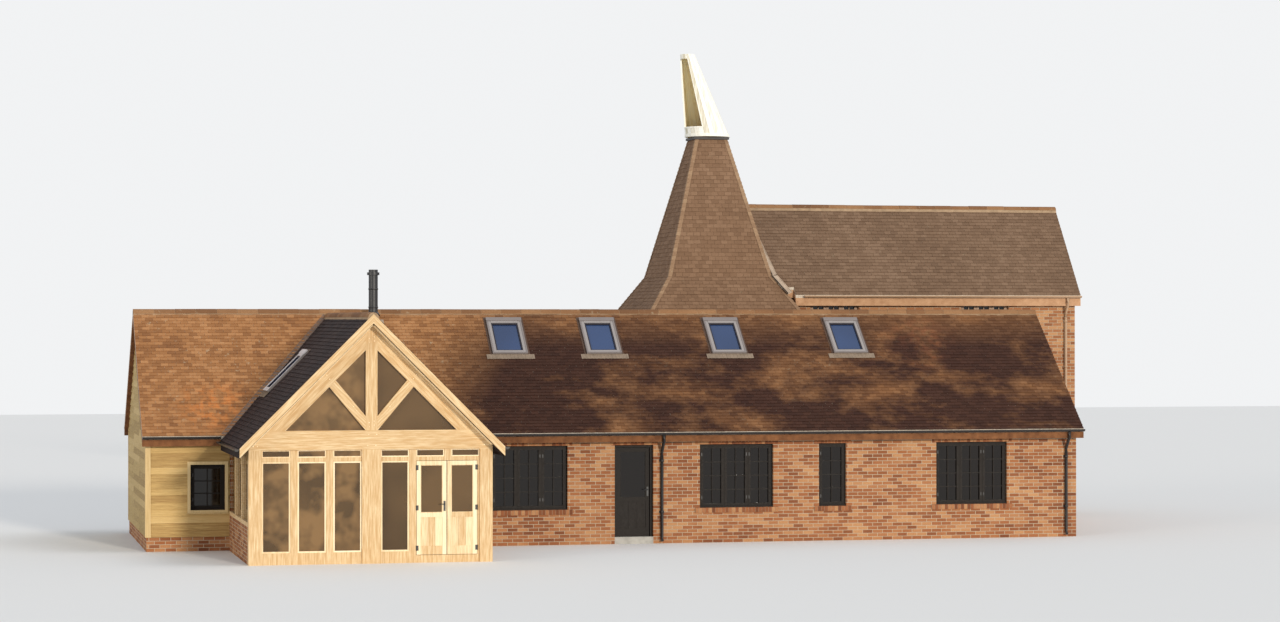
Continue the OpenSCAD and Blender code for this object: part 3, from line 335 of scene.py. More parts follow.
def tile_paint(name, tones, lichen=0.1, patches=(), weathered_and_tree_shade=None):
    """Clay tiles: each has its own tone, over broad weathering and pale lichen. A patch has a
    centre, a size, a colour and a share. The last argument darkens the slope in clouds between two
    places, less near the ridge: partly weathering, partly painted shade of trees."""
    p = Paint(name, rough=0.85, spec=0.2)
    dark, main, light = map(lin, tones)
    own, fine = p.tone(), p.noise(38.0, 4.0)
    mixed = p.plus(p.times(own, 0.4), p.times(p.noise(0.55, 4.0, rough=0.6), 0.62))
    base = p.ramp(mixed, (0.18, dark), (0.5, main), (0.85, light))
    base = p.blend(p.span(fine, 0.35, 0.75, 0.0, 0.35), base, shade(main, 0.55))
    spots = p.span(p.noise(9.0, 5.0, rough=0.7), 0.60, 0.70)
    grown = p.times(spots, p.span(p.noise(0.9), 0.42, 0.62))
    base = p.blend(p.times(grown, lichen), base, lin((196, 186, 158)))
    for centre, size, tint, share in patches:
        far = p.node("VectorMath", {0: p.place, 1: centre}, operation="DISTANCE").outputs["Value"]
        speckle = p.span(p.noise(5.5, 4.0), 0.42, 0.62)
        base = p.blend(p.times(p.times(p.span(far, size, size * 0.3), speckle), share), base, lin(tint))
    # Darker clouds over part of the slope, less near the ridge: partly weathering, partly painted shade of
    # trees
    if weathered_and_tree_shade:
        start, end, tint = weathered_and_tree_shade
        slanted = p.calc("SUBTRACT", p.axis("X"), p.times(p.axis("Z"), 0.77))
        blotch = p.span(p.noise(0.5, 5.0, p.stretch((1.0, 1.4, 1.6)), rough=0.62), 0.34, 0.52)
        clouds = p.plus(p.times(blotch, 0.55), 0.40)
        high = p.span(p.axis("Z"), 4.95, 4.2, 0.60, 1.0)
        share = p.times(p.times(p.span(slanted, start, end), clouds), high)
        base = p.blend(share, base, p.blend(p.times(own, 0.6), lin(tint), shade(lin(tint), 1.9)))
    p.colour(base)
    p.bump(fine, 0.004, 0.6)
    return p.mat


def brick_face(p, toned, tones):
    """The colour of bricks with grit over it, and the grit's relief."""
    dark, main, light = map(lin, tones)
    grit = p.noise(60.0, 4.0)
    face = p.ramp(toned, (0.2, dark), (0.5, main), (0.85, light))
    return p.blend(p.span(grit, 0.4, 0.8, 0.0, 0.4), face, shade(main, 0.6)), grit


def brick_paint(name, tones):
    """Brickwork in true-size courses over any upright wall."""
    p = Paint(name, rough=0.9, spec=0.15)
    where = p.join(p.plus(p.axis("X"), p.axis("Y")), p.axis("Z"))
    courses = p.node("TexBrick", {
        "Vector": where, "Scale": 1.0, "Brick Width": 0.225, "Row Height": 0.075,
        "Mortar Size": 0.0055, "Mortar Smooth": 0.25, "Bias": 0.0,
        "Color1": (0, 0, 0), "Color2": (1, 1, 1), "Mortar": (0.5, 0.5, 0.5)}, offset=0.5)
    toned = p.plus(p.times(courses.outputs["Color"], 0.6), p.times(p.noise(1.4), 0.5))
    face, grit = brick_face(p, toned, tones)
    p.colour(p.blend(courses.outputs["Fac"], face, lin((190, 176, 152))))
    p.bump(p.calc("SUBTRACT", 1.0, courses.outputs["Fac"]), 0.006, 0.9)
    p.bump(grit, 0.002, 0.6)
    return p.mat


def laid_brick_paint(name, tones):
    """Bricks that are each their own solid, such as those of a sill."""
    p = Paint(name, rough=0.9, spec=0.15)
    face, grit = brick_face(p, p.plus(p.times(p.tone(), 0.7), p.times(p.noise(3.0), 0.35)), tones)
    p.colour(face)
    p.bump(grit, 0.002, 0.6)
    return p.mat


def wood_paint(name, tones, grain, rough=0.7, wear=0.5, turn=0, fold=None):
    """Timber with grain along one axis; grain gives the stretch across it. A turn in degrees
    leans the grain in x, and a fold mirrors it at a place in x, for pairs of rafters."""
    p = Paint(name, rough=rough, spec=0.25)
    dark, main, light = map(lin, tones)
    if fold is not None:
        p.place = p.join(p.away(p.axis("X"), fold), p.axis("Y"), p.axis("Z"))
    leant = p.place
    if turn:
        leant = p.node("VectorRotate", {"Vector": p.place, "Angle": math.radians(-turn)},
                       rotation_type="Y_AXIS").outputs["Vector"]
    flow = p.stretch(grain, leant)
    rings, fine = p.noise(2.4, 6.0, flow, rough=0.65), p.noise(13.0, 4.0, flow, rough=0.7)
    base = p.ramp(p.plus(p.times(rings, 0.62), p.times(p.tone(), 0.3)),
                  (0.25, dark), (0.46, main), (0.72, light))
    p.colour(p.blend(p.span(fine, 0.55, 0.8, 0.0, wear), base, dark))
    p.bump(fine, 0.002, 0.5)
    p.bump(rings, 0.003, 0.4)
    return p.mat


def painted(name, main, rough=0.45, spec=0.4, dirt=0.25):
    """Painted timber or metal, a little uneven and grimed in patches."""
    p = Paint(name, spec=spec)
    grime = p.span(p.noise(2.1, 5.0, rough=0.6), 0.45, 0.75, 0.0, dirt)
    fine = p.noise(45.0)
    p.colour(p.blend(grime, lin(main), shade(lin(main), 0.62)))
    p.set("Roughness", p.span(fine, 0.3, 0.7, rough - 0.08, rough + 0.12))
    p.bump(fine, 0.001, 0.5)
    return p.mat


def glass_paint(name, tint, rough=0.05, clear=0.35, uneven=1.35, lighter=None):
    """Window glass: a dark tinted pane that shows the light and a little of the room. A place in x
    makes the panes left of it lighter, in soft clouds: a painted reflection."""
    p = Paint(name, rough=rough, spec=0.5)
    # The ripple bumps the pane and lightens its tint in patches: the lighter patches are painted reflection
    ripple = p.noise(0.7, 1.0)
    base = p.blend(p.span(ripple, 0.35, 0.65), lin(tint), shade(lin(tint), uneven))
    if lighter is not None:
        cloudy = p.span(p.noise(2.6, 2.0), 0.40, 0.60, 0.15, 0.75)
        share = p.times(p.span(p.axis("X"), lighter, lighter - 0.3), cloudy)
        base = p.blend(share, base, shade(lin(tint), 5.0))
    p.colour(base)
    p.bump(ripple, 0.004, 0.25)
    p.set("Transmission Weight", clear)
    p.set("IOR", 1.45)
    return p.mat


def verge_paint(name, ridge_y, ridge_z, tangent, low, high):
    """The edge of a roof slab: a bargeboard under a strip of verge mortar."""
    p = Paint(name, rough=0.85, spec=0.2)
    fall = p.plus(p.axis("Z"), p.times(p.away(p.axis("Y"), ridge_y - MID_Y), tangent))
    grit = p.noise(30.0, 5.0)
    timber = p.ramp(p.noise(8.0, 5.0), (0.3, lin(low)), (0.7, lin(high)))
    mortar = p.ramp(grit, (0.3, lin((176, 160, 142))), (0.7, lin((212, 200, 184))))
    p.colour(p.blend(p.span(fall, ridge_z - 0.072, ridge_z - 0.066), timber, mortar))
    p.bump(grit, 0.003, 0.7)
    return p.mat


def plain_paint(name, main, rough=0.9, scale=6.0):
    """Concrete, mortar or lead: soft mottling over one colour."""
    p = Paint(name, rough=rough, spec=0.25)
    main = lin(main)
    p.colour(p.ramp(p.noise(scale, 6.0, rough=0.65), (0.3, shade(main, 0.72)), (0.55, main),
                    (0.8, shade(main, 1.18))))
    p.bump(p.noise(scale * 14), 0.002, 0.6)
    return p.mat


# Tiles, bricks and mortar; three tones run from dark to light
# The range's tiles darken in clouds towards the right end: partly weathering, partly painted shade of trees
RED_TILE = tile_paint("plain_tiles", ((116, 78, 52), (154, 108, 70), (182, 134, 92)), 0.5,
                      patches=[(at(1.5, 0.55, 2.9), 1.0, (206, 130, 72), 0.6),
                               (at(17.5, 2.0, 4.25), 1.1, (196, 120, 80), 0.55)],
                      weathered_and_tree_shade=(at(2.7, 0, 0).x, at(4.9, 0, 0).x, (45, 28, 25)))
# The wing's tiles are drawn nearly black: painted shade, as of the left slope that lies away from the light
SHADED_WING_TILE = tile_paint("wing_tiles", ((28, 21, 23), (44, 33, 33), (63, 48, 45)))
KILN_TILE = tile_paint("kiln_tiles", ((108, 83, 64), (122, 95, 74), (137, 109, 87)))
STOW_TILE = tile_paint("stowage_tiles", ((101, 80, 64), (115, 92, 74), (129, 105, 86)), 0.12)
RIDGE_TILE = tile_paint("ridge_tiles", ((98, 70, 50), (128, 92, 64), (156, 118, 84)), 0.6)
HIP_TILE = tile_paint("hip_tiles", ((122, 96, 76), (142, 114, 90), (168, 142, 114)), 0.4)
BRICK = brick_paint("brick", ((118, 73, 52), (154, 99, 66), (184, 137, 97)))
OAST_BRICK = brick_paint("oast_brick", ((128, 84, 60), (162, 110, 76), (190, 145, 105)))
LAID_BRICK = laid_brick_paint("laid_brick", ((112, 70, 50), (148, 94, 64), (176, 130, 92)))
MORTAR = plain_paint("mortar", (158, 134, 108))
SLAB = plain_paint("floor_slab", (172, 168, 160))
VERGE = verge_paint("range_verge", RIDGE_Y, RANGE_TOP, RANGE_TAN, (98, 64, 43), (130, 88, 58))
STOW_VERGE = verge_paint("stowage_verge", STOW_RIDGE_Y, STOW_TOP, STOW_TAN, (170, 130, 98), (192, 152, 118))

# Timber, bare and painted
OAK = ((192, 156, 110), (230, 207, 167), (246, 230, 196))
PALE_OAK = ((218, 188, 144), (244, 222, 184), (252, 238, 206))
OAK_UP = wood_paint("oak_upright", OAK, (16, 16, 1))
OAK_ALONG = wood_paint("oak_along_x", OAK, (1, 16, 16))
OAK_DEEP = wood_paint("oak_along_y", OAK, (16, 1, 16))
OAK_RAFTER = wood_paint("oak_rafters", OAK, (16, 16, 1), turn=-45, fold=at(WX, 0, 0).x)
OAK_STRUT = wood_paint("oak_struts", OAK, (16, 16, 1), turn=45, fold=at(WX, 0, 0).x)
OAK_PALE = wood_paint("oak_pale", PALE_OAK, (9, 9, 1))
BOARD = wood_paint("weatherboard", ((152, 120, 74), (190, 158, 102), (212, 182, 128)), (1, 20, 20))
BOARD_SIDE = wood_paint("weatherboard_side", ((138, 112, 66), (172, 146, 94), (194, 168, 118)),
                        (20, 1, 20))
BOARD_UP = wood_paint("board_trim", ((160, 130, 88), (198, 170, 120), (216, 192, 146)), (20, 20, 1))
COWL_WHITE = wood_paint("cowl_boards", ((196, 188, 164), (238, 236, 226), (248, 247, 240)),
                        (9, 9, 0.7), rough=0.6, wear=0.35)
# The cowl's lining is drawn near white: painted light, so that its shaded inside looks lit
COWL_LINING_PAINTED_LIGHT = wood_paint("cowl_lining_painted_light", ((236, 214, 164), (255, 244, 206), (255, 252, 228)),
                       (9, 9, 0.7), rough=0.8)
DARK_WOOD = painted("dark_paint", (30, 24, 19), 0.6, 0.25, dirt=0.4)
# The cream paint is drawn a dull brown: partly weathering, partly painted shade under the eaves
WEATHERED_SHADED_CREAM = painted("cream_paint", (150, 120, 94))

# Metal, lead, seals and the roof windows' covers
IRON = painted("black_metal", (40, 40, 42), 0.4, 0.5)
GUTTER = painted("gutter", (46, 43, 42), 0.4)
PALE_GUTTER = painted("stowage_gutter", (176, 146, 118), 0.5)
ROOF_WINDOW = painted("roof_window_frame", (128, 120, 116), 0.4)
SASH_GREY = painted("roof_window_sash", (142, 136, 134), 0.4)
# The wing's roof window is drawn pale grey-white: a painted glint on a window that lies in shade
GLINT_PALE_COVER = painted("wing_window_cover_painted_glint", (206, 200, 200), 0.4)
WINDOW_COVER = painted("roof_window_cover", (120, 112, 110), 0.35)
SEAL = plain_paint("window_seal", (44, 42, 50), 0.6)
LEAD = plain_paint("lead", (150, 154, 160), 0.55, 3.0)
# Dark lead on the kiln's curb and upstand: partly the lead's own colour, partly painted shade under the cowl
# and along the join with the stowage
DARK_LEAD_AND_SHADE = plain_paint("dark_lead", (74, 70, 68), 0.6, 5.0)
PALE_LEAD = plain_paint("lead_flashing", (172, 152, 132), 0.5, 5.0)
SOAKER = plain_paint("soaker_lead", (84, 66, 56), 0.6, 5.0)
APRON = plain_paint("apron_lead", (132, 116, 100), 0.6, 5.0)
VALLEY = plain_paint("valley_lead", (122, 100, 86), 0.6, 5.0)

# Glass
DARK_GLASS = glass_paint("window_glass", (24, 18, 14), clear=0.25)
# The roof windows' glass is tinted blue: a painted reflection of the sky
SKY_REFLECTION_GLASS = glass_paint("roof_glass", (44, 62, 96), clear=0.1)
# The wing's glass is lighter in clouds at the left: a painted reflection
WING_GLASS = glass_paint("wing_glass", (84, 66, 44), 0.04, 0.45, 2.4, at(4.1, 0, 0).x)

# The CAD nodes get a better material, by patterns of their names; a later line wins
LOOKS = (
    (SLAB, "*_floor"),
    (BRICK, "range_*wall* range_*gable range_door_head wing_dwarf_walls"),
    (OAST_BRICK, "kiln_*wall* stowage_*wall stowage_*gable"),
    (VERGE, "range_roof_*"),
    (STOW_VERGE, "stowage_roof_*"),
    (SHADED_WING_TILE, "wing_roof_*"),
    (KILN_TILE, "kiln_roof_*"),
    (OAK_UP, "wing_posts wing_king_post wing_door_* wing_screen_frame cowl_pivot"),
    (OAK_ALONG, "wing_tie_beam stowage_upper_floor kiln_pivot_beam"),
    (OAK_DEEP, "wing_side_frames"),
    (OAK_RAFTER, "wing_principal_rafters wing_bargeboards"),
    (OAK_STRUT, "wing_struts"),
    (DARK_WOOD, "range_frames range_door range_door_frame oast_door"),
    (WEATHERED_SHADED_CREAM, "oast_frames"),
    (ROOF_WINDOW, "roof_window_frames"),
    (COWL_WHITE, "cowl"),
    (DARK_LEAD_AND_SHADE, "kiln_curb"),
    (IRON, "stove_flue"),
    (GUTTER, "gutters"),
    (LEAD, "lead_gutter"),
    (RIDGE_TILE, "ridge_tiles"),
    (DARK_GLASS, "window_glass"),
    (SKY_REFLECTION_GLASS, "roof_window_glass"),
    (WING_GLASS, "wing_glass"))
for paint, patterns in LOOKS:
    for pattern in patterns.split():
        for name in fnmatch.filter(frame["nodes"], pattern):
            slots = frame["nodes"][name].data.materials
            slots.clear()
            slots.append(paint)


def clip(poly, a, b):
    """The part of a flat outline to the left of the line from a to b."""
    ex, ey = b[0] - a[0], b[1] - a[1]
    out = []
    for p, q in zip(poly, poly[1:] + poly[:1]):
        dp = ex * (p[1] - a[1]) - ey * (p[0] - a[0])
        dq = ex * (q[1] - a[1]) - ey * (q[0] - a[0])
        if dp >= 0:
            out.append(p)
        if (dp > 0 > dq) or (dp < 0 < dq):
            t = dp / (dp - dq)
            out.append((p[0] + t * (q[0] - p[0]), p[1] + t * (q[1] - p[1])))
    return out if len(out) > 2 else []


def inside(poly, region):
    """The part of an outline that lies in a convex region."""
    for a, b in zip(region, region[1:] + region[:1]):
        poly = clip(poly, a, b)
    return poly


def outside(poly, hole):
    """What is left of an outline when a convex hole is taken out of it."""
    left = []
    for a, b in zip(hole, hole[1:] + hole[:1]):
        left.append(clip(poly, b, a))
        poly = clip(poly, a, b)
    return [part for part in left if part]


TILE_W, GAUGE, LEAST_AREA = 0.165, 0.100, 2e-4


def lay_tiles(shape, slope, regions, holes=(), tail=0.016, rise=0.004, ragged=0.003, gauge=GAUGE,
              width=TILE_W):
    """Courses of plain tiles over convex regions of a slope, cut round convex holes. A tile's
    lower edge stands off by tail and its upper edge by rise, and ragged is its play down the slope."""
    regions, holes = [turned_left(r) for r in regions], [turned_left(h) for h in holes]
    us, ss = zip(*(p for r in regions for p in r))
    low_s, high_s = min(ss), max(ss)
    for k in range(math.ceil((high_s - low_s) / gauge)):
        s0 = low_s + k * gauge
        s1 = min(s0 + gauge + 0.012, high_s)
        wave = rng.uniform(-0.0015, 0.0015)
        u = min(us) - width * (0.5 if k % 2 else 0.0)
        while u < max(us):
            gap = rng.uniform(0.0012, 0.003)
            stand = tail + rng.uniform(-0.0015, 0.0025) + wave
            drop = rng.uniform(-ragged, ragged)
            tilt = rng.uniform(-0.0015, 0.0015)
            tone = rng.random()
            tile = [(u + gap, s0 + drop - tilt), (u + width - gap, s0 + drop + tilt),
                    (u + width - gap, s1), (u + gap, s1)]
            polys = [part for part in (inside(tile, r) for r in regions) if part]
            for hole in holes:
                polys = [part for poly in polys for part in outside(poly, hole)]
            for poly in polys:
                if abs(area_of(poly)) < LEAST_AREA:
                    continue
                foot = [slope.point(*p) for p in poly]
                heights = [stand - (tail - rise) * min(max((s - s0) / gauge, 0), 1.15) for _, s in poly]
                top = [p + slope.out * h for p, h in zip(foot, heights)]
                shape.face(top, tone)
                for i, j in zip(range(len(poly)), [*range(1, len(poly)), 0]):
                    if min(poly[i][1], poly[j][1]) <= s1 - 0.002:
                        shape.face([foot[i], foot[j], top[j], top[i]], tone)
            u += width


def slope_up(foot, along, tangent):
    """A roof slope over its eave, with its pitch as a tangent; it climbs to the left of along."""
    return Plane(foot, along, UP.cross(along) + UP * tangent)


front_slope = slope_up(at(0, FRONT_EDGE, EAVE_Z), EAST, RANGE_TAN)
rear_slope = slope_up(at(RANGE_LEN, REAR_EDGE, EAVE_Z), WEST, RANGE_TAN)
ridge_s = (RIDGE_Y - FRONT_EDGE) / math.cos(RANGE_PITCH)


def on_range(slope, x, y):
    """The u and s of a place on the range's roof."""
    return slope.flat(at(x, y, range_top(y)))


# Roof windows: the middle of each along its slope, and its foot up the slope
RANGE_WINDOWS = [(x, 2.54) for x in (7.97, 10.07, 12.91, 15.72)]
WING_WINDOW = (-0.1, 1.40)
WINDOW_W, WINDOW_L, SOAKER_W = 0.78, 1.18, 0.05


def window_hole(u, s):
    """Where the tiles leave room for a roof window and its lead."""
    half = WINDOW_W / 2 + SOAKER_W
    return rect(u - half, u + half, s - 0.10, s + WINDOW_L + 0.07)


# The range's tiles end at the roof windows, the wing's valleys, the kiln and the lead gutter
VALLEY_HALF, VALLEY_GAP = WING_HALF - (EAVE_Z - WING_EAVE) / WING_TAN, 0.07
range_tiles = Shape("range_tiles_front", RED_TILE, "plain_tiles")
lay_tiles(range_tiles, front_slope, [rect(ROOF_X0, ROOF_X1, 0, ridge_s)],
          [window_hole(*spot) for spot in RANGE_WINDOWS]
          + [[(WX - VALLEY_HALF - VALLEY_GAP, -0.2), (WX + VALLEY_HALF + VALLEY_GAP, -0.2),
              on_range(front_slope, WX, VALLEY_Y + VALLEY_GAP)]])
range_back = Shape("range_tiles_rear", RED_TILE, "plain_tiles")
KILN_WALL_X, KILN_WALL_Y, _ = corners("kiln_front_wall")[0]
LEAD_GUTTER_Y = KILN_WALL_Y + 0.1
kiln_u0, kiln_u1 = RANGE_LEN - STOW_X0, RANGE_LEN - KILN_WALL_X
kiln_s, gutter_s = (on_range(rear_slope, 0, y)[1] for y in (KILN_WALL_Y, LEAD_GUTTER_Y))
lay_tiles(range_back, rear_slope, [rect(kiln_u1, ROOF_X1, 0, ridge_s),
                                   rect(kiln_u0, kiln_u1, kiln_s, ridge_s),
                                   rect(ROOF_X0, kiln_u0, gutter_s, ridge_s)])


def wing_top(x):
    """Height of the wing's roof over a place across it."""
    return WING_EAVE + (WING_HALF - abs(x - WX)) * WING_TAN


wing_left = slope_up(at(WING_X0, 0, WING_EAVE), SOUTH, WING_TAN)
wing_right = slope_up(at(WING_X1, 0, WING_EAVE), NORTH, WING_TAN)
wing_tiles = Shape("wing_roof_tiles", SHADED_WING_TILE, "wing_tiles")
for slope, edge, side, holes in ((wing_left, WING_X0, -1, [window_hole(*WING_WINDOW)]),
                                 (wing_right, WING_X1, 1, [])):
    plans = ([(edge, WING_TIP), (WX, WING_TIP), (WX, FRONT_EDGE), (edge, FRONT_EDGE)],
             [(WX + side * VALLEY_HALF, FRONT_EDGE), (WX, FRONT_EDGE), (WX, VALLEY_Y)])
    lay_tiles(wing_tiles, slope, [[slope.flat(at(x, y, wing_top(x))) for x, y in plan] for plan in plans],
              holes)


def kiln_slope(side, half0, z0, half1, z1):
    """The plane of one part of a kiln slope and its outline."""
    facing = (SOUTH, EAST, NORTH, WEST)[side]
    slope = Plane(at(KX, KY, z0) + facing * half0, UP.cross(facing),
                  UP * (z1 - z0) - facing * (half0 - half1))
    length = math.hypot(half0 - half1, z1 - z0)
    return slope, [(-half0, 0), (half0, 0), (half1, length), (-half1, length)]


def kiln_half(z):
    """Half the width of the kiln's roof at a height."""
    half0, z0, half1, z1 = KILN_PARTS[z > KNEE_Z]
    return half0 - (half0 - half1) * (z - z0) / (z1 - z0)


# The kiln's four slopes, each a flared foot under a steep upper part
kiln_tiles = Shape("kiln_roof_tiles", KILN_TILE, "kiln_tiles")
for side in range(4):
    for part in KILN_PARTS:
        slope, outline = kiln_slope(side, *part)
        holes = []
        if side == 1:
            half0, z0, half1, z1 = part
            run = (half0 - half1) / (z1 - z0)
            edge = [slope.flat(at(KX + half0 - (stow_top(y) - z0) * run, y, stow_top(y)))
                    for y in (STOW_Y0, STOW_RIDGE_Y, STOW_Y1)]
            holes = [[(edge[0][0] - 0.4, -9.0), (edge[2][0] + 0.4, -9.0), *edge[::-1]]]
        if side == 2 and part is KILN_PARTS[0]:
            outline = inside(outline, rect(-1.75, 2, -1, 9))
        lay_tiles(kiln_tiles, slope, [outline], holes, tail=0.013)

# The stowage's two slopes, cut off where they meet the kiln's roof; u runs from the left wall
stow_tiles = Shape("stowage_roof_tiles", STOW_TILE, "stowage_tiles")
stow_front = slope_up(at(STOW_X0, STOW_FRONT_EDGE, STOW_EAVE), EAST, STOW_TAN)
stow_rear = slope_up(at(STOW_X0, STOW_REAR_EDGE, STOW_EAVE), WEST, STOW_TAN)
for slope, edge, wall, side, halves in ((stow_front, STOW_FRONT_EDGE, STOW_Y0, -1, (1.266, 1.45)),
                                        (stow_rear, STOW_REAR_EDGE, STOW_Y1, 1, (1.092, 1.75))):
    eave = [(STOW_X0, edge), (STOW_ROOF_X1, edge), (STOW_ROOF_X1, wall), (STOW_X0, wall)]
    roof = [(STOW_ROOF_X1, wall), (STOW_ROOF_X1, STOW_RIDGE_Y), (KX + 0.768, STOW_RIDGE_Y),
            *((KX + half, KY + side * half) for half in halves)]
    lay_tiles(stow_tiles, slope, [[slope.flat(at(x, y, stow_top(y))) for x, y in plan]
                                  for plan in (eave, roof)])

# Ridge tiles: length, thickness, and half the angle of their arc in radians
RIDGE_LEN, RIDGE_T, RIDGE_SPREAD = 0.45, 0.014, 1.45


def ridge_run(start, end, slope, radius=0.112, rise=0.038):
    """Half-round ridge tiles end to end on a mortar bed; slope is the roof's tangent."""
    way, total = (end - start).normalized(), (end - start).length
    side = way.cross(UP).normalized()
    count = max(1, round(total / RIDGE_LEN))
    step = total / count

    def arc(base, r, lift):
        turns = [RIDGE_SPREAD * (k / 4 - 1) for k in range(9)]
        return [base + side * math.sin(t) * r + UP * (math.cos(t) * r + lift - radius) for t in turns]

    for k in range(count):
        own = rng.random()
        lift = rise + rng.uniform(-0.003, 0.003)
        a = start + way * (k * step + 0.004) + side * rng.uniform(-0.003, 0.003)
        b = start + way * ((k + 1) * step - 0.004)
        (out_a, in_a), (out_b, in_b) = ([arc(p, r, lift) for r in (radius, radius - RIDGE_T)]
                                        for p in (a, b))
        for i, j in zip(range(8), range(1, 9)):
            ridge_tops.face([out_a[i], out_a[j], out_b[j], out_b[i]], own, True)
            ridge_tops.face([out_a[j], out_a[i], in_a[i], in_a[j]], own)
            ridge_tops.face([out_b[i], out_b[j], in_b[j], in_b[i]], own)
        for i in (0, -1):
            ridge_tops.face([out_a[i], out_b[i], in_b[i], in_a[i]], own)
    reach = radius * math.sin(RIDGE_SPREAD) + 0.012
    low = UP * (reach * slope - 0.004)
    ridge_beds.block([start - side * reach - low, *arc(start, radius - 0.006, rise),
                      start + side * reach - low, start - UP * 0.06], way * total)


ridge_tops = Shape("ridge_tiles_laid", RIDGE_TILE, "plain_tiles", stands_for=("ridge_tiles",))
ridge_beds = Shape("ridge_mortar", MORTAR, "plain_tiles")
ridge_run(at(ROOF_X0, RIDGE_Y, RANGE_TOP), at(ROOF_X1, RIDGE_Y, RANGE_TOP), RANGE_TAN)
ridge_run(at(WX, WING_TIP - 0.02, WING_TOP), at(WX, VALLEY_Y - 0.023, WING_TOP), WING_TAN)
ridge_run(at(KX + 0.80, STOW_RIDGE_Y, STOW_TOP), at(STOW_ROOF_X1, STOW_RIDGE_Y, STOW_TOP), STOW_TAN,
          0.10, 0.04)

# Hip tiles on the kiln's four edges, left out where they would lie under the stowage's roof
HIP_REACH = 0.075
hips = Shape("kiln_hip_tiles", HIP_TILE, "kiln_tiles")
for half0, z0, half1, z1 in KILN_PARTS:
    count = int(math.hypot(half0 - half1, z1 - z0) / GAUGE)
    for sx, sy in ((-1, -1), (1, -1), (1, 1), (-1, 1)):
        out = Vector((sx, sy, 0.6)).normalized()
        for k in range(count):
            own = rng.uniform(0.2, 0.9)
            rings = []
            for t, stand in ((k / count, 0.030), ((k + 1) / count + 0.004, 0.016)):
                half, z = half0 + (half1 - half0) * t, z0 + (z1 - z0) * t
                corner = at(KX + sx * half, KY + sy * half, z)
                rings.append([corner + out * stand,
                              corner - EAST * sx * HIP_REACH + Vector((0, sy, 0.3)) * 0.017,
                              corner - out * 0.02,
                              corner - NORTH * sy * HIP_REACH + Vector((sx, 0, 0.3)) * 0.017])
            y = KY + sy * (half0 + (half1 - half0) * k / count)
            z = z0 + (z1 - z0) * k / count
            if sx < 0 or not STOW_FRONT_EDGE < y < STOW_REAR_EDGE or z >= stow_top(y) - 0.03:
                hips.hull(*rings, own)

# Windows in walls: a frame's width, the panes' depth in it, the frame's depth in the wall, a
# light's width and its lip over the frame, a glazing bar's width, and a brick on edge
FRAME_W, PANE_DEPTH, REVEAL, LIGHT_FACE, LIP, BAR_W, BRICK_W = 0.055, 0.033, 0.08, 0.048, 0.012, 0.020, 0.065


def casements(shape, place, w, h, lights, rows):
    """Lipped opening lights with slim glazing bars over the panes of one window."""
    pane = (w - FRAME_W * (lights + 1)) / lights
    clear = LIGHT_FACE - LIP
    for i in range(lights):
        left = FRAME_W + i * (pane + FRAME_W)
        right = left + pane
        place.ring(shape, left - LIP, right + LIP, FRAME_W - LIP, h - FRAME_W + LIP, -PANE_DEPTH, 0.008,
                   LIGHT_FACE)
        u0, u1, s0, s1 = left + clear, right - clear, FRAME_W + clear, h - FRAME_W - clear
        u = (u0 + u1 - BAR_W) / 2
        place.bar(shape, u, u + BAR_W, s0, s1, -PANE_DEPTH, -0.004)
        for k in range(1, rows):
            s = s0 + (s1 - s0) * k / rows - BAR_W / 2
            place.bar(shape, u0, u1, s, s + BAR_W, -PANE_DEPTH, -0.006)
        u = right - 0.003 if i % 2 else left + 0.003
        for s in (0.22, h - 0.22):
            place.bar(hinges, u - 0.010, u + 0.010, s - 0.035, s + 0.035, 0.008, 0.013)
    place.bar(shape, -0.002, w + 0.002, -0.004, 0.030, -0.01, 0.045)


def brick_row(bricks, place, u0, u1, s0, s1, h0, h1, width=BRICK_W):
    """Bricks standing side by side over a bed of mortar."""
    count = max(1, round((u1 - u0) / (width + 0.010)))
    step = (u1 - u0) / count
    for k in range(count):
        jog = rng.uniform(-0.0015, 0.0015)
        place.bar(bricks, u0 + k * step + 0.005, u0 + (k + 1) * step - 0.005, s0 + 0.001, s1 + jog,
                  h0, h1 + jog, rng.random())
    place.bar(joints, u0, u1, s0 + 0.004, s1 - 0.004, h0 + 0.002, h1 - 0.005)


range_lights = Shape("range_casements", DARK_WOOD, "dark_paint")
oast_lights = Shape("oast_casements", WEATHERED_SHADED_CREAM, "cream_paint")
hinges = Shape("casement_hinges", IRON, "black_metal")
range_bricks = Shape("range_sills_and_heads", LAID_BRICK, "brick")
oast_bricks = Shape("oast_sills_and_heads", LAID_BRICK, "brick")
joints = Shape("sill_mortar", MORTAR, "brick")
OAST_W, OAST_H, LOW_SILL, HIGH_SILL = 1.2, 1.0, 1.15, 4.21
HEAD_H, EAVES_HEAD_H, SILL_PAST = 0.215, 0.07, 0.11
BOARDED_X, BOARDED_SILL, BOARDED_W, BOARDED_H = 0.9, 0.85, 0.72, 0.95


def head_row(bricks, face, w, foot, height):
    """A row of bricks on end over an opening."""
    brick_row(bricks, face, -SILL_PAST, w + SILL_PAST, foot + 0.001, foot + height, -0.05, 0.003)


def dress(corner, way, w=OAST_W, h=OAST_H, lights=3, rows=3, oast=True, head=HEAD_H, boarded=False):
    """Everything that a window shows besides its frame and panes; corner is its lower left one
    in the wall's face."""
    face = Plane(corner, way)
    casements(oast_lights if oast else range_lights, Plane(face.point(0, 0, -REVEAL), way), w, h,
              lights, rows)
    if not boarded:
        bricks = oast_bricks if oast else range_bricks
        brick_row(bricks, face, -SILL_PAST, w + SILL_PAST, -0.1025, 0.002, -0.05, 0.028)
        brick_row(bricks, face, 0.0, w, -0.02, 0.004, -REVEAL, 0.0, 0.1025)
        head_row(bricks, face, w, h, head)


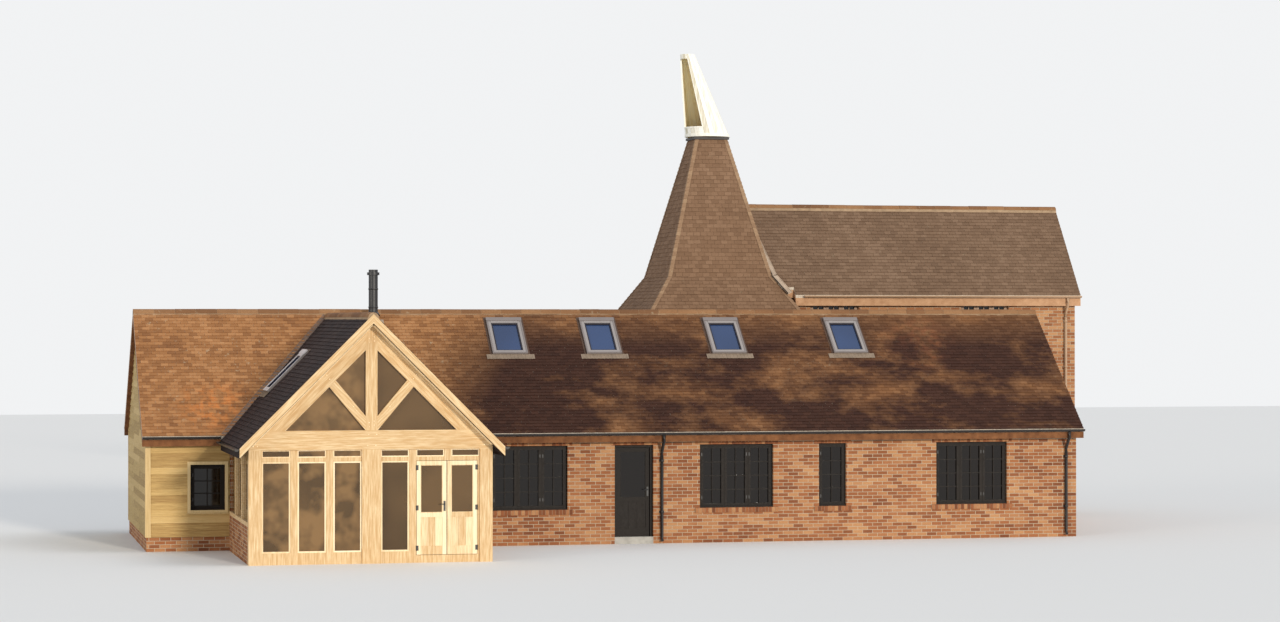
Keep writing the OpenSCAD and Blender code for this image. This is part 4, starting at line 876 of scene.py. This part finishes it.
for x, w, lights in ((7.25, 1.64, 3), (11.8, 1.64, 3), (14.47, 0.62, 1), (17.1457, 1.64, 3)):
    dress(at(x, 0, 0.75), FRONT, w, 1.37, lights, 4, oast=False)
dress(at(BOARDED_X, 0, BOARDED_SILL), FRONT, BOARDED_W, BOARDED_H, 1, oast=False, boarded=True)
for k in range(3):
    dress(at(KILN_WALL_X * (k + 0.5) / 3 + OAST_W / 2, RANGE_W, LOW_SILL), BACK, oast=False)
for x in (15.95, 19.71):
    dress(at(x, STOW_Y0, HIGH_SILL), FRONT, head=EAVES_HEAD_H)
    dress(at(x + OAST_W, STOW_Y1, LOW_SILL), BACK)
    dress(at(x + OAST_W, STOW_Y1, HIGH_SILL), BACK, head=EAVES_HEAD_H)
for sill in (LOW_SILL, HIGH_SILL):
    dress(at(STOW_X1, 6.8, sill), RIGHT)
dress(at(KILN_WALL_X, 7.85, LOW_SILL), LEFT)

# Brick heads over the front door and the rear plank door
head_row(range_bricks, Plane(at(9.92, 0, 0), FRONT), 0.85, 2.12, HEAD_H)
head_row(oast_bricks, Plane(at(18.905, STOW_Y1, 0), BACK), 0.95, 2.15, HEAD_H)

# Doors: framed leaves with a boarded foot, glass above, hinges and a lever handle
LEAF_T, STILE, KICK_H, PANEL_H, KNUCKLE = 0.046, 0.08, 0.17, 0.80, 0.016


def leaf(name, body, node, hand, wood, glass, hinge_out, latch=True):
    """One door leaf; hand is 1 if its hinges are at the right seen from outside, or else -1. The
    node's box takes in the knuckles of the hinges."""
    (x0, y0, z0), (x1, y1, z1) = corners(node)
    place = Plane(at(x0 if hand > 0 else x0 + KNUCKLE, y1 - LEAF_T if hinge_out else y0, z0), FRONT)
    w, h = x1 - x0 - KNUCKLE, z1 - z0
    timber = Shape(name + "_wood", wood, "oak" if wood is OAK_UP else "dark_paint", body, (node,))
    pane = Shape(name + "_glass", glass, "glass", body)
    iron = Shape(name + "_ironwork", IRON, "black_metal", body)
    for u in (0.0, w - STILE):
        place.bar(timber, u, u + STILE, 0, h, -LEAF_T, 0.0, rng.random())
    for s0, s1 in ((0.0, KICK_H), (PANEL_H - 0.06, PANEL_H + 0.03), (h - STILE, h)):
        place.bar(timber, STILE, w - STILE, s0, s1, -LEAF_T, -0.0006, rng.random())
    wide = (w - 2 * STILE) / 3
    for u in (STILE, STILE + wide, STILE + 2 * wide):
        place.bar(timber, u + 0.0015, u + wide - 0.0015, KICK_H, PANEL_H - 0.06, 0.012 - LEAF_T, -0.013,
                  rng.random())
    place.ring(timber, STILE - 0.002, w - STILE + 0.002, PANEL_H + 0.028, h - STILE + 0.002,
               0.004 - LEAF_T, -0.006, 0.014)
    place.bar(pane, STILE - 0.004, w - STILE + 0.004, PANEL_H + 0.024, h - STILE + 0.004, -0.029, -0.017)
    edge = w if hand > 0 else 0.0
    axis_h, plate_h = (0.0083, 0.0) if hinge_out else (-LEAF_T - 0.0083, -LEAF_T - 0.0035)
    for s in (STILE, (h - 0.1) / 2, h - STILE - 0.1):
        pin = place.point(edge + hand * 0.008, s, axis_h)
        iron.tube([pin + UP * z for z in (0, 0.033, 0.0335, 0.066, 0.0665, 0.1)],
                  [0.008, 0.008, 0.0072, 0.0072, 0.008, 0.008])
        place.bar(iron, *sorted((edge - hand * 0.036, edge + hand * 0.004)), s, s + 0.1,
                  plate_h, plate_h + 0.0035)
    if latch:
        lock = 0.040 if hand > 0 else w - 0.040
        for face, sign in ((0.0, 1), (-LEAF_T, -1)):
            place.bar(iron, lock - 0.02, lock + 0.02, 0.86, 1.06, *sorted((face, face + sign * 0.008)))
            root, knee = (place.point(lock, 1.0, face + sign * h) for h in (0.004, 0.048))
            tip = place.point(lock + hand * 0.105, 0.998, face + sign * 0.050)
            iron.tube([root, knee + (root - knee) * 0.15, knee], 0.009, 10)
            iron.tube([knee - (tip - knee) * 0.06, knee + (tip - knee) * 0.5, tip],
                      [0.009, 0.008, 0.007], 10)


leaf("front_door_leaf", "front_door", "range_door", -1, DARK_WOOD, DARK_GLASS, False)
leaf("wing_left_leaf", "wing_left_leaf", "wing_door_left", -1, OAK_UP, WING_GLASS, True)
leaf("wing_right_leaf", "wing_right_leaf", "wing_door_right", 1, OAK_UP, WING_GLASS, True, latch=False)

# Plank door at the back: boards over a ledged leaf, with strap hinges and a ring latch
planks = Shape("rear_plank_door", DARK_WOOD, "dark_paint", stands_for=("oast_door",))
straps = Shape("rear_door_ironwork", IRON, "black_metal")
(x0, _, z0), (x1, y1, z1) = corners("oast_door")
rear_door = Plane(at(x1, y1, z0), BACK)
for u in (0.14 * k for k in range(6)):
    rear_door.bar(planks, u + 0.0015, u + 0.1385, 0.012, 1.942, -0.04, 0.0, rng.random())
rear_door.bar(planks, 0.0, x1 - x0, 0.0, z1 - z0, -0.046, -0.012, 0.3)
for s in (0.30, 1.62):
    rear_door.bar(straps, 0.02, 0.52, s, s + 0.045, 0.0, 0.006)
    straps.tube([rear_door.point(0.012, s + up, 0.004) for up in (-0.02, 0.065)], 0.010, 10)
    for u in (0.08, 0.22, 0.36, 0.49):
        straps.tube([rear_door.point(u, s + 0.022, h) for h in (0.004, 0.011)], 0.008, 8)
rear_door.bar(straps, 0.74, 0.80, 0.95, 1.07, 0.0, 0.006)
ring = [rear_door.point(0.77 + 0.032 * math.cos(t), 0.985 + 0.032 * math.sin(t), 0.014)
        for t in (math.pi / 2 + 2 * math.pi * k / 20 for k in range(20))]
straps.tube(ring + ring[:1], 0.006, 8)

# Glazing beads of the oak screen, round the low lights and the transom lights
beads = Shape("screen_glazing_beads", OAK_PALE, "oak")
screen = Plane(at(0, corners("wing_screen_frame")[0][1], 0), FRONT)
LIGHT_W = 0.56333
FIXED_LIGHTS = (1.97, 2.67333, 3.37667, 4.32)
for xs, s0, s1, width in ((FIXED_LIGHTS, 0.23, 2.02, 0.030),
                          (FIXED_LIGHTS + (5.02333, 5.72667), 2.10, 2.25, 0.022)):
    for x in xs:
        screen.ring(beads, x, x + LIGHT_W, s0, s1, -0.048, -0.022, width)

# Oak pegs that hold the frame's joints
pegs = Shape("oak_pegs", OAK_PALE, "oak")
frame_face = Plane(at(0, corners("wing_tie_beam")[0][1], 0), FRONT)
spots = [(x + across, s) for x in (1.80, 1.88, 4.05, 4.21, 6.38, 6.46)
         for across, s in ((0, 2.33), (0.02, 2.55))]
spots += [(WX + across, s + up) for s in (2.70, 2.78, 4.36, 4.44)
          for across, up in ((-0.05, 0), (0.05, 0.03))]
spots += [(WX + sx * run, s) for sx in (-1, 1)
          for run, s in ((0.30, 3.02), (0.36, 3.10), (0.83, 3.64), (0.89, 3.72))]
for x, s in spots:
    pegs.tube([frame_face.point(x, s, h) for h in (-0.004, 0.008, 0.012)], [0.012, 0.012, 0.008], 10,
              rng.random())

# Feather-edge boards over a brick foot, with corner and window trims
BOARD_FOOT, BOARD_TOP, BOARDS_X1, TRIM_W, TRIM_T = 0.30, 2.355, 1.712, 0.085, 0.026
front_wall, left_wall = Plane(at(0, 0, 0), FRONT), Plane(at(0, RANGE_W, 0), LEFT)
front_boards = Shape("front_weatherboards", BOARD, "boards")
side_boards = Shape("gable_weatherboards", BOARD_SIDE, "boards")
trims = Shape("board_trims", BOARD_UP, "boards")
as_boards = dict(tail=0.022, rise=0.006, ragged=0.0005, gauge=0.145, width=3.7)
u0, u1, s0, s1 = BOARDED_X, BOARDED_X + BOARDED_W, BOARDED_SILL, BOARDED_SILL + BOARDED_H
lay_tiles(front_boards, front_wall, [rect(0, BOARDS_X1, BOARD_FOOT, BOARD_TOP)],
          [rect(u0 - 0.05, u1 + 0.05, s0 - 0.05, s1 + 0.05)], **as_boards)
lay_tiles(side_boards, left_wall, [[(0, BOARD_FOOT), (RANGE_W, BOARD_FOOT), (RANGE_W, BOARD_TOP),
                                    (RIDGE_Y, BOARD_TOP + RIDGE_Y * RANGE_TAN), (0, BOARD_TOP)]],
          **as_boards)
front_wall.bar(trims, -TRIM_T, TRIM_W, BOARD_FOOT, BOARD_TOP, 0.0, TRIM_T + 0.002, 0.6)
left_wall.bar(trims, RANGE_W - TRIM_W, RANGE_W, BOARD_FOOT, BOARD_TOP, 0.0, TRIM_T, 0.4)
left_wall.bar(trims, 0.0, TRIM_W, BOARD_FOOT, BOARD_TOP, 0.0, TRIM_T)
front_wall.ring(trims, u0 - 0.06, u1 + 0.06, s0 - 0.06, s1 + 0.06, -0.02, 0.030, 0.062)
front_wall.bar(trims, u0 - 0.08, u1 + 0.08, s0 - 0.075, s0 - 0.05, -0.02, 0.048)

# Half-round gutters on brackets, with round downpipes
GUTTER_R, GUTTER_T, GUTTER_OUT, JOINT_EVERY, BRACKET_EVERY = 0.052, 0.003, 0.053, 2.0, 0.9
PIPE_R, CLIP_EVERY = 0.034, 1.1


def gutter(shape, start, end, out):
    """A half-round gutter; its back rim lies just below the line from start to end."""
    way, total = (end - start).normalized(), (end - start).length
    centre = start + out * GUTTER_OUT - UP * 0.012

    def section(along, radius, thick, n=9):
        turns = [math.pi * k / n for k in range(n + 1)]
        rims = [(radius, t) for t in turns] + [(radius - thick, t) for t in turns[::-1]]
        return [centre + way * along + out * r * math.cos(t) - UP * r * math.sin(t) for r, t in rims]

    def run(a, b, radius, thick=GUTTER_T):
        near, far = section(a, radius, thick), section(b, radius, thick)
        half = len(near) // 2
        for i in range(len(near) - 1):
            shape.face([near[i], near[i + 1], far[i + 1], far[i]], smooth=i != half - 1)
        shape.face([near[0], far[0], far[-1], near[-1]])
        for ring in (near, far):
            for i in range(half - 1):
                shape.face([ring[i], ring[i + 1], ring[-2 - i], ring[-1 - i]])

    run(0, total, GUTTER_R)
    for k in range(max(1, int(total / JOINT_EVERY))):
        joint = JOINT_EVERY * (k + 0.5)
        run(joint - 0.04, min(joint + 0.04, total), GUTTER_R + 0.004, 0.0035)
    count = max(2, round(total / BRACKET_EVERY))
    for k in range(count):
        along = 0.12 + (total - 0.24) * k / (count - 1)
        run(along - 0.012, along + 0.012, GUTTER_R + 0.003)
        arm = centre + way * (along - 0.012) - out * GUTTER_OUT - UP * 0.06
        shape.block([arm, arm + way * 0.024, arm + way * 0.024 + out * 0.006, arm + out * 0.006],
                    UP * 0.058)
    for along in (0.0, total - GUTTER_T):
        shape.block(section(along, GUTTER_R, GUTTER_R)[:10], way * GUTTER_T)


def downpipe(shape, top, foot, out):
    """A round pipe from under a gutter back to the wall and down to its foot, with clips."""
    low = top.z - 0.46
    shape.tube([top, top - UP * 0.10, foot + UP * (low + 0.10), foot + UP * low], PIPE_R)
    shape.tube([foot + UP * low, foot + UP * 0.16, foot + UP * 0.06 + out * 0.05], PIPE_R)
    for k in range(max(2, int(low / CLIP_EVERY))):
        clip_z = low - 0.12 - k * CLIP_EVERY
        if clip_z > 0.25:
            spot = foot + UP * clip_z
            shape.tube([spot, spot + UP * 0.05], 0.040)
            shape.box(spot - Vector((0.055, 0.006, 0)) - out * 0.040,
                      spot + Vector((0.055, 0.006, 0.05)) - out * 0.034)


dark_gutters = Shape("range_gutters", GUTTER, "black_metal", stands_for=("gutters",))
pale_gutters = Shape("stowage_gutters", PALE_GUTTER, "black_metal")
for shape, x0, y0, x1, y1, z, out in (
        (dark_gutters, ROOF_X0, FRONT_EDGE, WING_X0, FRONT_EDGE, EAVE_Z, SOUTH),
        (dark_gutters, WING_X1 + 0.01, FRONT_EDGE, ROOF_X1, FRONT_EDGE, EAVE_Z, SOUTH),
        (dark_gutters, KILN_WALL_X, REAR_EDGE, ROOF_X0, REAR_EDGE, EAVE_Z, NORTH),
        (dark_gutters, WING_X0, -0.32, WING_X0, WING_TIP, WING_EAVE, WEST),
        (dark_gutters, WING_X1, WING_TIP, WING_X1, -0.32, WING_EAVE, EAST),
        (pale_gutters, 15.75, STOW_FRONT_EDGE, STOW_ROOF_X1, STOW_FRONT_EDGE, STOW_EAVE, SOUTH),
        (pale_gutters, STOW_ROOF_X1, STOW_REAR_EDGE, 15.75, STOW_REAR_EDGE, STOW_EAVE, NORTH)):
    gutter(shape, at(x0, y0, z), at(x1, y1, z), out)
for shape, x, edge, wall, eave, out in (
        (dark_gutters, 20.15, FRONT_EDGE, 0, EAVE_Z, SOUTH),
        (dark_gutters, 10.95, FRONT_EDGE, 0, EAVE_Z, SOUTH),
        (dark_gutters, 0.25, REAR_EDGE, RANGE_W, EAVE_Z, NORTH),
        (dark_gutters, 11.7, REAR_EDGE, RANGE_W, EAVE_Z, NORTH),
        (pale_gutters, 22.35, STOW_FRONT_EDGE, STOW_Y0, STOW_EAVE, SOUTH),
        (pale_gutters, 22.35, STOW_REAR_EDGE, STOW_Y1, STOW_EAVE, NORTH)):
    downpipe(shape, at(x, edge, eave - 0.065) + out * 0.056, at(x, wall, 0) + out * 0.045, out)

# Roof windows: cover trims, sashes, seals, soakers and pleated lead aprons. From a window's edge
# inward lie the cover, the sash, the seal and the pane, and a hood covers the top
COVER_IN, SASH_IN, SEAL_IN, PANE_IN, HOOD, TOP_RAIL = 0.034, 0.036, 0.094, 0.122, 0.10, 0.165
PLEATS, APRON_PAST, APRON_L = 26, 0.14, 0.15
window_covers = Shape("roof_window_covers", WINDOW_COVER, "cream_paint")
window_sashes = Shape("roof_window_sashes", SASH_GREY, "cream_paint")
# The wing's roof window is all in the pale cover paint: a painted glint
wing_sash = Shape("wing_window_sash_painted_glint", GLINT_PALE_COVER, "cream_paint")
seals = Shape("roof_window_seals", SEAL, "black_metal")
soakers = Shape("roof_window_soakers", SOAKER, "lead")
aprons = Shape("roof_window_aprons", APRON, "lead")
for slope, (u, s0) in [(front_slope, spot) for spot in RANGE_WINDOWS] + [(wing_left, WING_WINDOW)]:
    u0, u1, s1 = u - WINDOW_W / 2, u + WINDOW_W / 2, s0 + WINDOW_L
    covers, sashes = (wing_sash, wing_sash) if slope is wing_left else (window_covers, window_sashes)
    for shape, a, b, low, high, h0, h1 in (
            (covers, 0, COVER_IN, s0, s1, 0.058, 0.070),
            (sashes, SASH_IN, SEAL_IN, s0 + SASH_IN, s1 - HOOD, 0.030, 0.064),
            (seals, SEAL_IN, PANE_IN, s0 + SEAL_IN, s1 - TOP_RAIL, 0.026, 0.056),
            (soakers, -SOAKER_W, 0, s0, s1 + SOAKER_W, 0.002, 0.018)):
        slope.bar(shape, u0 + a, u0 + b, low, high, h0, h1)
        slope.bar(shape, u1 - b, u1 - a, low, high, h0, h1)
    for shape, a, low, high, h0, h1 in (
            (covers, COVER_IN, s0, s0 + COVER_IN, 0.058, 0.068),
            (covers, -0.006, s1 - HOOD, s1 + 0.012, 0.052, 0.082),
            (sashes, SEAL_IN, s0 + SASH_IN, s0 + SEAL_IN, 0.030, 0.063),
            (sashes, SEAL_IN, s1 - TOP_RAIL, s1 - HOOD, 0.030, 0.072),
            (seals, PANE_IN, s0 + SEAL_IN, s0 + 0.118, 0.026, 0.054),
            (seals, PANE_IN, s1 - 0.205, s1 - TOP_RAIL, 0.026, 0.054),
            (soakers, -SOAKER_W, s1, s1 + 0.075, 0.004, 0.022)):
        slope.bar(shape, u0 + a, u1 - a, low, high, h0, h1)
    pleat = (WINDOW_W + 2 * APRON_PAST) / PLEATS
    for k in range(PLEATS):
        left, crest = u0 - APRON_PAST + pleat * k, 0.004 * (k % 2)
        slope.bar(aprons, left, left + pleat, s0 - APRON_L, s0 + 0.002, 0.019 + crest, 0.025 + crest, 0.6)

# Soffit boards under the wing's overhang, beside the principal rafters
soffits = Shape("wing_soffit_boards", OAK_PALE, "oak")
for slope, x in ((wing_left, WING_X0), (wing_right, WING_X1)):
    for y in (WING_TIP + 0.01, WING_TIP + 0.13):
        ends = [slope.flat(at(x, end, WING_EAVE))[0] for end in (y, y + 0.115)]
        slope.bar(soffits, min(ends), max(ends), 0.2, 3.54, -0.154, -0.142, rng.random())


def lead_strip(shape, start, end, out, inward, width, lift=0.012):
    """Lead from start to end over a face that looks out; it spreads inward to a rolled edge."""
    across = out.cross((end - start).normalized())
    if across.dot(inward) < 0:
        across = -across
    a, b = start + out * lift, end + out * lift
    strip = [a, b, b + across * width, a + across * width]
    shape.face(strip if out.dot((b - a).cross(across)) > 0 else strip[::-1])
    roll = across * 0.014
    shape.block([strip[3], strip[2], strip[2] + roll, strip[3] + roll], out * 0.006)


valleys = Shape("valley_lead", VALLEY, "lead")
valley_top = at(WX, VALLEY_Y, WING_TOP)
for sx, slope in ((-1, wing_left), (1, wing_right)):
    foot = at(WX + sx * VALLEY_HALF, FRONT_EDGE, EAVE_Z)
    lead_strip(valleys, foot, valley_top, front_slope.out, EAST * sx, 0.085)
    lead_strip(valleys, foot, valley_top, slope.out, SOUTH, 0.05)

# The cowl: white boards round a leaning cone, open on one side and bare inside; the lining is drawn near
# white as painted light
COWL_Z, COWL_H = corners("cowl")[0][2], corners("cowl")[1][2] - corners("cowl")[0][2]
COWL_FOOT, COWL_TOP, COWL_LEAN = 0.535, 0.173, 0.667
COWL_TURN, MOUTH_HALF, SILL, HEAD = math.radians(30), 40, 0.23, 1.84
COWL_WAY = EAST * math.cos(COWL_TURN) + NORTH * math.sin(COWL_TURN)


def on_cowl(angle, z, inset):
    """A place on the cone, by degrees from the middle of the open side and height over the foot."""
    share, turn = z / COWL_H, math.radians(angle)
    r = COWL_FOOT + (COWL_TOP - COWL_FOOT) * share - inset
    return (at(KX, KY, COWL_Z + z) - COWL_WAY * (COWL_LEAN * share + r * math.cos(turn))
            - UP.cross(COWL_WAY) * r * math.sin(turn))


def cowl_board(shape, a0, a1, z0, z1, skin, back, tone=0.5):
    """A board between two angles, two heights and two depths."""
    corners_of = ((a0, skin), (a1, skin), (a1, back), (a0, back))
    shape.hull(*([on_cowl(a, z, inset) for a, inset in corners_of] for z in (z0, z1)), tone)


cowl_skin = Shape("cowl_boards", COWL_WHITE, "cowl_white", "turning_cowl", ("cowl",))
cowl_lining = Shape("cowl_lining", COWL_LINING_PAINTED_LIGHT, "cowl_white", "turning_cowl")
cowl_trim = Shape("cowl_trim", COWL_WHITE, "cowl_white", "turning_cowl")
spans = [(MOUTH_HALF + 14 * k, MOUTH_HALF + 14 * (k + 1), 0.0, COWL_H) for k in range(20)]
steps = [MOUTH_HALF * (k / 3 - 1) for k in range(7)]
mouth = list(zip(steps, steps[1:]))
for a0, a1 in mouth:
    spans += [(a0, a1, 0.0, SILL), (a0, a1, HEAD, COWL_H)]
for k, (a0, a1, z0, z1) in enumerate(spans):
    own = rng.random()
    cowl_board(cowl_skin, a0 + 0.25, a1 - 0.25, z0, z1, 0.0015 * (k % 2), 0.016, own)
    cowl_board(cowl_lining, a0, a1, z0 + 0.002, z1 - 0.002, 0.016, 0.024, own)
for a0 in (-MOUTH_HALF - 1, MOUTH_HALF - 2):
    cowl_board(cowl_trim, a0, a0 + 3, SILL, HEAD, -0.006, 0.030, 0.8)
for a0, a1 in mouth:
    cowl_board(cowl_trim, a0, a1, SILL - 0.03, SILL + 0.006, -0.010, 0.030, 0.6)
for angle in range(0, 360, 15):
    cowl_board(cowl_trim, angle, angle + 15, 0.0, 0.075, -0.008, 0.0)
cowl_trim.block([on_cowl(angle, COWL_H - 0.022, 0.012) for angle in range(0, 360, 15)], UP * 0.022)

# The stove flue: clamps, a collar, and a lead slate where it leaves the roof
FLUE_X, FLUE_Y, _ = ((low + high) / 2 for low, high in zip(*corners("stove_flue")))
flue = Shape("flue_clamps", IRON, "black_metal")
slate = Shape("flue_slate", PALE_LEAD, "lead")


def flue_ring(shape, z0, z1, radius):
    shape.tube([at(FLUE_X, FLUE_Y, z) for z in (z0, z1)], radius, 24)


for z in (5.06, 5.46):
    flue_ring(flue, z, z + 0.035, 0.108)
    flue.box(at(FLUE_X - 0.012, FLUE_Y - 0.125, z + 0.008), at(FLUE_X + 0.012, FLUE_Y - 0.1, z + 0.027))
flue_ring(flue, 4.88, 4.98, [0.16, 0.103])
u, s = on_range(front_slope, FLUE_X, FLUE_Y)
front_slope.bar(slate, u - 0.25, u + 0.25, s - 0.30, s + 0.26, 0.019, 0.024)
flue_ring(slate, 4.55, 4.90, [0.15, 0.125])

# Lead where the stowage's roof meets the kiln, over the roof and up the kiln
KNEE_Y, HIP_Y = round(STOW_FRONT_EDGE + (KNEE_Z - STOW_EAVE) / STOW_TAN, 3), 8.354
abutment = Shape("kiln_abutment_lead", PALE_LEAD, "lead")
# The upstand is dark lead: partly its own colour, partly painted shade along the join
upstand = Shape("kiln_upstand_lead", DARK_LEAD_AND_SHADE, "lead")
for y0, y1, roof, part in ((STOW_FRONT_EDGE, KNEE_Y, stow_front, KILN_PARTS[0]),
                           (KNEE_Y, STOW_RIDGE_Y, stow_front, KILN_PARTS[1]),
                           (HIP_Y, STOW_RIDGE_Y, stow_rear, KILN_PARTS[1])):
    ends = [at(KX + kiln_half(stow_top(y)), y, stow_top(y)) for y in (y0, y1)]
    lead_strip(abutment, *ends, roof.out, EAST, 0.13, 0.020)
    lead_strip(upstand, *ends, kiln_slope(1, *part)[0].out, UP, 0.06, 0.020)


def kiln_top(x, y):
    """Height of the kiln's roof over a place."""
    half = max(abs(x - KX), abs(y - KY))
    half0, z0, half1, z1 = KILN_PARTS[half <= KNEE_HALF]
    return z0 + (half0 - half) * (z1 - z0) / (half0 - half1)


# The low cheek under the stowage's rear slope, beside the kiln's hip
cheek = Shape("stowage_cheek", OAST_BRICK, "brick")
line = [(14.95, 8.36), (15.02, 8.58), (15.10, 8.80), (15.19, 8.90), (15.28, 8.99)]
tops = [at(x, y, stow_top(y) - 0.24) for x, y in line]
feet = [at(x, y, min(kiln_top(x, y) - 0.03, top.z - 0.01)) for (x, y), top in zip(line, tops)]
across = EAST * 0.26
for i in range(len(line) - 1):
    cheek.hull(*([p[i] + across, p[i + 1] + across, p[i + 1], p[i]] for p in (feet, tops)))

# All pieces become objects in the order in which they were begun
for piece in pieces:
    piece.build()

# Floor, light and camera
FLOOR_REACH = 90.0
floor_paint = Paint("floor_paint", rough=0.95, spec=0.1)
floor_paint.colour((0.80, 0.79, 0.77))
ground = bpy.data.meshes.new("floor")
ground.from_pydata([(x, y, 0) for x, y in rect(-FLOOR_REACH, FLOOR_REACH, -FLOOR_REACH, FLOOR_REACH)],
                   [], [range(4)])
ground.materials.append(floor_paint.mat)
put("floor", ground)

# The world lights the house softly, and looks brighter where it is seen or mirrored
scene = bpy.context.scene
scene.world = bpy.data.worlds.new("studio")
scene.world.use_nodes = True
sky = Graph(scene.world.node_tree)
soft = sky.tree.nodes["Background"]
sky.wire((0.86, 0.92, 1.0), soft.inputs["Color"])
sky.wire(0.62, soft.inputs["Strength"])
seen = sky.node("Background", {"Color": (0.93, 0.94, 0.95), "Strength": 0.95})
rays = sky.node("LightPath").outputs
looked_at = sky.calc("MAXIMUM", rays["Is Camera Ray"], rays["Is Glossy Ray"])
looked_at = sky.calc("MAXIMUM", looked_at, rays["Is Transmission Ray"])
mix = sky.node("MixShader", {0: looked_at, 1: soft.outputs[0], 2: seen.outputs[0]})
sky.wire(mix.outputs[0], sky.tree.nodes["World Output"].inputs["Surface"])


def lamp(name, direction, strength, angle, colour):
    """A distant lamp; direction points from the house towards it."""
    data = bpy.data.lights.new(name, "SUN")
    data.energy, data.angle, data.color = strength, math.radians(angle), colour
    put(name, data).rotation_euler = Vector(direction).to_track_quat("Z", "Y").to_euler()


lamp("key", (0.24, -0.94, 0.20), 2.35, 6, (1.0, 0.92, 0.80))
lamp("fill", (0.6, -0.2, 0.9), 0.7, 30, (0.96, 0.97, 1.0))
lamp("side", (-0.85, -0.5, 0.12), 0.85, 20, (1.0, 0.93, 0.80))
lens = bpy.data.cameras.new("camera")
lens.sensor_width, lens.lens, lens.clip_end = 36.0, 86.0, 400.0
camera = put("camera", lens)
camera.location = (-15.505, -66.42, 4.84)
way = Vector((-0.25, 0.0, 5.0)) - camera.location
camera.rotation_euler = way.to_track_quat("-Z", "Y").to_euler()
scene.camera = camera
scene.view_settings.view_transform = "Standard"
